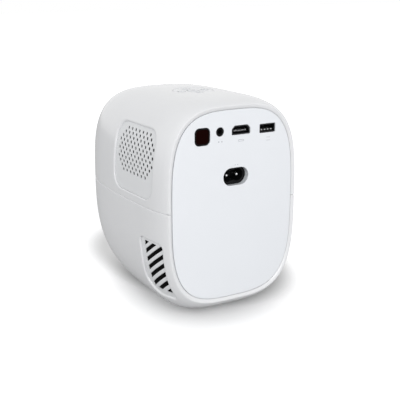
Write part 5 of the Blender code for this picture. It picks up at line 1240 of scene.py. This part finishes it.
def sound_jack():
    """Round collar in the panel on a square body, with a cap that closes it behind."""
    low, high = (np.array(corner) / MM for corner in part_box("sound_jack"))
    shoulder = PANEL_Y - PANEL_THICKNESS - GAP
    depth = shoulder - low[1]
    centre = (JACK_X, JACK_Z)
    square = box_loop((low[0], high[0]), (low[2], high[2]), JACK_CORNER, JACK_CORNER_STEPS)
    hole = circle_loop(centre, JACK_BORE, SMALL_SIDES)
    block = sheet(flat_place("Y", shoulder, 1), depth, [(square, SMALL_ROLL), (hole, HAIR_ROLL)],
                  WALL_SPACING)
    start = shoulder - JACK_COLLAR_DEPTH
    outer_round, inner_round = JACK_COLLAR_ROUNDS
    collar = [(JACK_BORE, start, 0.0), (JACK_RADIUS, start, 0.0),
              (JACK_RADIUS, high[1], outer_round), (JACK_BORE, high[1], inner_round)]
    tube = turned(rounded(collar), "Y", centre, FITTING_SIDES)
    lid = circle_loop(centre, JACK_BORE + JACK_CAP_LAP, TINY_SIDES)
    cap = sheet(flat_place("Y", low[1] + JACK_CAP_IN, 1), JACK_CAP_THICKNESS, [(lid, FINE_ROLL)],
                WALL_SPACING)
    piece("sound_socket", several([block, tube, cap]), "socket_black", node="sound_jack")


def remote_window():
    """Dark pane of the remote receiver in a thin black rim."""
    window = window_loop(WINDOW_STEPS, WINDOW_SPACING)
    rim = [(window, SOFT_ROLL), (grown(window, -WINDOW_RIM), FINE_ROLL)]
    place = flat_place("Y", PANEL_Y - GAP / 2, 1)
    piece("window_rim", sheet(place, WINDOW_DEPTH, rim, WINDOW_SPACING), "socket_black")
    pane = [(grown(window, -PANE_INSET), FINE_ROLL)]
    piece("window_pane", sheet(flat_place("Y", PANEL_Y - GAP, 1), PANE_THICKNESS, pane,
                               WINDOW_SPACING), "window_dark", node="remote_window")


def socket_contacts():
    """Thin contacts on the top and the front end of both sockets' tongues."""
    for name, node, count, width in CONTACTS:
        low, high = (np.array(corner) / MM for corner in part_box(node))
        middle = (low + high) / 2
        centres = np.linspace(low[0] + width, high[0] - width, count)
        tops = [[bar((x, middle[1]), (width, high[1] - low[1] - CONTACT_SHORT), 0.0)]
                for x in centres]
        ends = [[bar((x, middle[2] + CONTACT_UP), (width, CONTACT_HEIGHT), 0.0)] for x in centres]
        shape = several([ink(tops, flat_place("Z", high[2] + INK_PROUD, 1)),
                         ink(ends, flat_place("Y", high[1] + INK_PROUD, 1))])
        piece(name, shape, "pin_metal", weighted=False)


def focus_ring():
    """Focus ring with lengthwise ridges round its grip and a stepped front lip."""
    def ridges(turns, radius):
        """A cosine of the turns, squared up by a hyperbolic tangent, where the grip is."""
        shape = 0.5 + 0.5 * np.tanh(RIDGE_SHARPNESS * np.cos(RING_RIDGES * turns))
        return (shape - 1.0) * RING_RIDGE * (radius > RING_RADIUS + RIDGE_START)

    crest = RING_RADIUS + RING_RIDGE
    grip = RING_FRONT_Y + RING_LIP
    corners = [(RING_BORE, RING_REAR_Y, SOFT_ROLL), (RING_RADIUS, RING_REAR_Y, SOFT_ROLL),
               (RING_RADIUS, RING_REAR_Y - RING_GRIP_END, 0.0),
               (crest, RING_REAR_Y - RING_GRIP_END - RING_GRIP_SLOPE, 0.0),
               (crest, grip + 2 * RING_GRIP_SLOPE, 0.0),
               (RING_RADIUS, grip + RING_GRIP_SLOPE, 0.0),
               (RING_RADIUS, RING_FRONT_Y, RING_LIP_ROUND)]
    corners += [(RING_BORE + out, RING_FRONT_Y + into, size) for out, into, size in RING_MOUTH]
    piece("focus_grip", turned(rounded(corners), "Y", (0.0, LENS_Z), RING_RIDGES * RING_RIDGE_STEPS,
                               ridges), "lens_black", "ring", node="focus_ring", sharp=LENS_SHARP)


def lens_barrel():
    """Barrel with its focus pin and a funnel of baffle steps before the front glass."""
    corners = [(BARREL_RADIUS, BARREL_REAR_Y, SOFT_ROLL),
               (BARREL_RADIUS, BARREL_FRONT_Y, BARREL_MOUTH_ROUND),
               (BARREL_BORE + BARREL_LIP, BARREL_FRONT_Y, SOFT_ROLL)]
    step_in, step_back = BAFFLE_STEP
    for k in range(BAFFLE_STEPS):
        y = BARREL_FRONT_Y + BAFFLE_START + k * BAFFLE_PITCH
        radius = BARREL_BORE + BAFFLE_OUT - k * BAFFLE_DRAW_IN
        corners += [(radius, y, HAIR_ROLL), (radius - step_in, y + step_back, HAIR_ROLL)]
    throat_in, throat_back = BARREL_THROAT
    corners += [(BARREL_BORE - throat_in, BARREL_FRONT_Y + throat_back, 0.0),
                (BARREL_BORE, FRONT_GLASS_Y, 0.0), (BARREL_BORE, BARREL_REAR_Y, SMALL_ROLL)]
    tube = turned(rounded(corners, BARREL_ROUND_STEPS), "Y", (0.0, LENS_Z), LENS_SIDES)
    low, high = LENS_Z + BARREL_RADIUS - FOCUS_PIN_ROOT, LENS_Z + FOCUS_PIN_TOP
    pin = turned(rounded([(0.0, low, 0.0), (FOCUS_PIN_RADIUS, low, 0.0),
                          (FOCUS_PIN_RADIUS, high, SOFT_ROLL), (0.0, high, 0.0)]), "Z",
                 (0.0, FOCUS_PIN_Y), TINY_SIDES)
    piece("lens_tube", several([tube, pin]), "lens_black", "barrel", node="lens_barrel",
          sharp=LENS_SHARP)


def lens_glasses():
    """Both glass elements, with domes on an ellipse that is cut off just inside its end."""
    radii = GLASS_RADIUS * np.sin(np.linspace(0.0, math.pi / 2, GLASS_RINGS))
    dome = GLASS_DOME * np.sqrt(1 - (radii / (GLASS_RADIUS * GLASS_FLATNESS)) ** 2)
    dome = dome - dome[-1]
    for name, y, node in (("front_element", FRONT_GLASS_Y, "front_glass"),
                          ("rear_element", REAR_GLASS_Y, "rear_glass")):
        front = [(r, y - GLASS_HALF_EDGE - d) for r, d in zip(radii, dome)]
        rear = [(r, y + GLASS_HALF_EDGE + d) for r, d in zip(radii[::-1], dome[::-1])]
        piece(name, turned(front + rear, "Y", (0.0, LENS_Z), WIDE_SIDES), "lens_glass", "barrel",
              node=node, sharp=LENS_SHARP)


def base_fittings():
    """Rubber feet with a shallow hollow, and the threaded brass nut."""
    inner, outer = FOOT_HOLLOW_RADIUS
    corners = [(0.0, FOOT_HOLLOW, 0.0), (inner, FOOT_HOLLOW, FINE_ROLL), (outer, 0.0, FINE_ROLL),
               (FOOT_RADIUS, 0.0, FOOT_ROUND), (FOOT_RADIUS, FOOT_HEIGHT, FINE_ROLL),
               (0.0, FOOT_HEIGHT, 0.0)]
    for word_y, y in zip(("front", "rear"), FOOT_Y):
        for word_x, x in (("left", -FOOT_X), ("right", FOOT_X)):
            name = "foot_%s_%s" % (word_y, word_x)
            piece("rubber_" + name, turned(rounded(corners), "Z", (x, y), ROUND_SIDES),
                  "foot_rubber", node=name)
    low, high = NUT_Z
    corners = [(NUT_RADIUS, low, NUT_ROUND), (NUT_RADIUS, high, NUT_ROUND), (NUT_BORE, high, 0.0)]
    for k in reversed(range(int((high - low - THREAD_ENDS) / THREAD_PITCH))):
        z = low + THREAD_START + k * THREAD_PITCH
        corners += [(NUT_BORE + deeper, z + THREAD_PITCH * share, 0.0)
                    for deeper, share in zip((0.0, THREAD_DEPTH, 0.0), THREAD_SHARES)]
    corners += [(NUT_BORE, low + NUT_CHAMFER, 0.0), (NUT_BORE + NUT_CHAMFER, low, 0.0)]
    piece("threaded_nut", turned(rounded(corners), "Z", (0.0, NUT_Y), ROUND_SIDES), "nut_brass",
          node="stand_nut", sharp=THREAD_SHARP)


CAD_FINISHES = {
    "shell_dark": ("video_socket_shell", "data_socket_shell"),
    "socket_black": ("video_socket_tongue", "data_socket_tongue"),
    "window_dark": ("remote_receiver", "image_plate"),
    "board_green": ("main_board", "key_board"),
    "board_tan": ("power_board",),
    "board_white": ("light_board",),
    "transformer_tape": ("transformer",),
    "sleeve_dark": ("capacitor",),
    "lens_black": ("optical_box", "fan_frame", "fan_rotor", "lens_mount"),
    "mirror_silver": ("mirror", "light_funnel"),
    "plate_glass": ("lower_fresnel", "upper_fresnel", "condenser_lens"),
    "emitter_yellow": ("light_emitter",),
    "sink_aluminium": ("heat_sink",),
    "screw_steel": ("lens_screw_1", "lens_screw_2", "lens_screw_3", "lens_screw_4"),
    "speaker_black": ("speaker_left", "speaker_right", "speaker_cone_left", "speaker_cone_right"),
}


def dress_cad_nodes():
    """Give each node of the construction that still shows its finish."""
    for finish, names in CAD_FINISHES.items():
        for name in names:
            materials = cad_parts[name].data.materials
            materials.clear()
            materials.append(FINISH[finish])


def combined(tree, operation, first, second):
    """Two values put together by one step of arithmetic."""
    return shader_node(tree, "Math", {0: first, 1: second}, operation=operation).outputs["Value"]


def seen_rays(tree):
    """One where a camera ray or a transmission ray arrives, else nought."""
    path = shader_node(tree, "LightPath").outputs
    return combined(tree, "MAXIMUM", path["Is Camera Ray"], path["Is Transmission Ray"])


def floor_oval(tree, oval, low, high):
    """A smooth oval about a floor point: `low` inside it, `high` outside it.

    With d the way from the centre, turned back by the turn, the fade follows the length of
    (dx / half x, dy / half y), from the oval's inner share to 1.
    """
    (x, y), (half_x, half_y), turn, inner = oval
    place = shader_node(tree, "Mapping", {"Vector": object_place(tree),
                                          "Location": (x * MM, y * MM, 0.0),
                                          "Rotation": (0.0, 0.0, turn),
                                          "Scale": (half_x * MM, half_y * MM, 1.0)},
                        vector_type="TEXTURE").outputs["Vector"]
    length = shader_node(tree, "VectorMath", {0: place}, operation="LENGTH").outputs["Value"]
    return ranged(tree, length, low, high, (inner, 1.0), "SMOOTHSTEP")


# Ovals on the floor: centre and half sizes, turn in radians, and the share that keeps the value
# of the middle. Inside the two shadow ovals a painted shadow lowers the floor's seen colour and
# glow.
SHADOW_TONE_OVAL = ((-38.4, -67.7), (85.6, 135.4), 0.027, 0.723)
SHADOW_GLOW_OVAL = ((-24.6, -21.1), (87.2, 160.0), -0.438, 0.487)
FAR_OVAL = ((0.0, 0.0), (1000.0, 1000.0), 0.0, 0.0)
FLOOR_TONE, FLOOR_SHADOW_TONES = 0.62, (0.17, 0.85)
FLOOR_SHADOW_GLOW, FLOOR_FAR_GLOW = (0.106, 0.50), (0.10, 0.6)
FLOOR_ROUGHNESS, FLOOR_SPECULAR, FLOOR_HALF = 0.9, 0.1, 4.0
WHITE = (1.0, 1.0, 1.0, 1.0)
AMBIENT = (0.655, 0.658, 0.665, 1.0)
# Name, place and size in metres, power in watts, and whether gloss shows the lamp
LAMPS = (
    ("rear_soft_box", (0.3, 1.15, 0.5), 0.9, 8.0, True),
    ("top_soft_box", (-0.15, 0.1, 1.35), 1.0, 0.1, True),
    ("side_soft_box", (1.1, -0.75, 0.45), 0.9, 2.7, False),
)
LAMP_TARGET = Vector((0.0, 0.0, 0.08))


def surroundings():
    """World that is white to camera, glossy and transmission rays, and lights a little less."""
    world = bpy.data.worlds.new("surroundings")
    bpy.context.scene.world = world
    world.use_nodes = True
    tree = world.node_tree
    tree.nodes.clear()
    glossy = shader_node(tree, "LightPath").outputs["Is Glossy Ray"]
    ambient, white = (shader_node(tree, "Background", {"Color": colour}).outputs["Background"]
                      for colour in (AMBIENT, WHITE))
    mix = shader_node(tree, "MixShader", {"Fac": combined(tree, "MAXIMUM", seen_rays(tree), glossy),
                                          1: ambient, 2: white})
    shader_node(tree, "OutputWorld", {"Surface": mix.outputs["Shader"]})


def floor():
    """Pale floor with a painted shadow: where it is seen, its tone and glow drop inside smooth
    ovals.
    """
    pale, tree, shader = node_material("pale_floor")
    shader.inputs["Roughness"].default_value = FLOOR_ROUGHNESS
    shader.inputs["Specular IOR Level"].default_value = FLOOR_SPECULAR
    shader.inputs["Emission Color"].default_value = WHITE
    # Painted shadow: the colour that the camera sees is darker inside an oval beside the body
    shadow_tone = floor_oval(tree, SHADOW_TONE_OVAL, *FLOOR_SHADOW_TONES)
    tone = ranged(tree, seen_rays(tree), FLOOR_TONE, shadow_tone, (0.0, 1.0))
    # Painted shadow: the floor's own glow is weaker inside a second oval, and far out it lifts the
    # floor to white
    glow = combined(tree, "MAXIMUM", floor_oval(tree, SHADOW_GLOW_OVAL, *FLOOR_SHADOW_GLOW),
                    floor_oval(tree, FAR_OVAL, *FLOOR_FAR_GLOW))
    glow = combined(tree, "MULTIPLY", glow, seen_rays(tree))
    tree.links.new(tone, shader.inputs["Base Color"])
    tree.links.new(glow, shader.inputs["Emission Strength"])
    mesh = bpy.data.meshes.new("floor")
    corners = [(x * FLOOR_HALF, y * FLOOR_HALF, 0.0)
               for x, y in ((-1, -1), (1, -1), (1, 1), (-1, 1))]
    mesh.from_pydata(corners, [], [(0, 1, 2, 3)])
    mesh.materials.append(pale)
    placed("floor", mesh)


def lamps():
    """Large square soft lamps, all aimed at the middle of the body."""
    for name, place, size, power, glossy in LAMPS:
        lamp = bpy.data.lights.new(name, "AREA")
        lamp.shape = "SQUARE"
        lamp.size = size
        lamp.energy = power
        obj = placed(name, lamp)
        obj.location = place
        obj.visible_glossy = glossy
        obj.rotation_euler = (LAMP_TARGET - Vector(place)).to_track_quat("-Z", "Y").to_euler()


CAMERA_AZIMUTH, CAMERA_ELEVATION = math.radians(148.8), math.radians(15.36)
CAMERA_DISTANCE = 0.6517
CAMERA_TARGET = Vector((0.0, 0.02025, 0.07745))
CAMERA_LENS, CAMERA_SENSOR = 76.4, 36.0


def camera():
    """Camera at the photograph's viewing angle, for a square frame."""
    back = Vector((math.sin(CAMERA_AZIMUTH) * math.cos(CAMERA_ELEVATION),
                   -math.cos(CAMERA_AZIMUTH) * math.cos(CAMERA_ELEVATION),
                   math.sin(CAMERA_ELEVATION)))
    data = bpy.data.cameras.new("camera")
    data.lens = CAMERA_LENS
    data.sensor_width = CAMERA_SENSOR
    obj = placed("camera", data)
    obj.location = CAMERA_TARGET + back * CAMERA_DISTANCE
    obj.rotation_euler = back.to_track_quat("Z", "Y").to_euler()
    bpy.context.scene.camera = obj


camera()
casing()
rear_panel()
front_panel()
side_covers()
control_pad()
panel_marks()
mains_inlet()
sound_jack()
remote_window()
socket_contacts()
focus_ring()
lens_barrel()
lens_glasses()
base_fittings()
dress_cad_nodes()
surroundings()
floor()
lamps()
bpy.context.scene.view_settings.view_transform = "Standard"
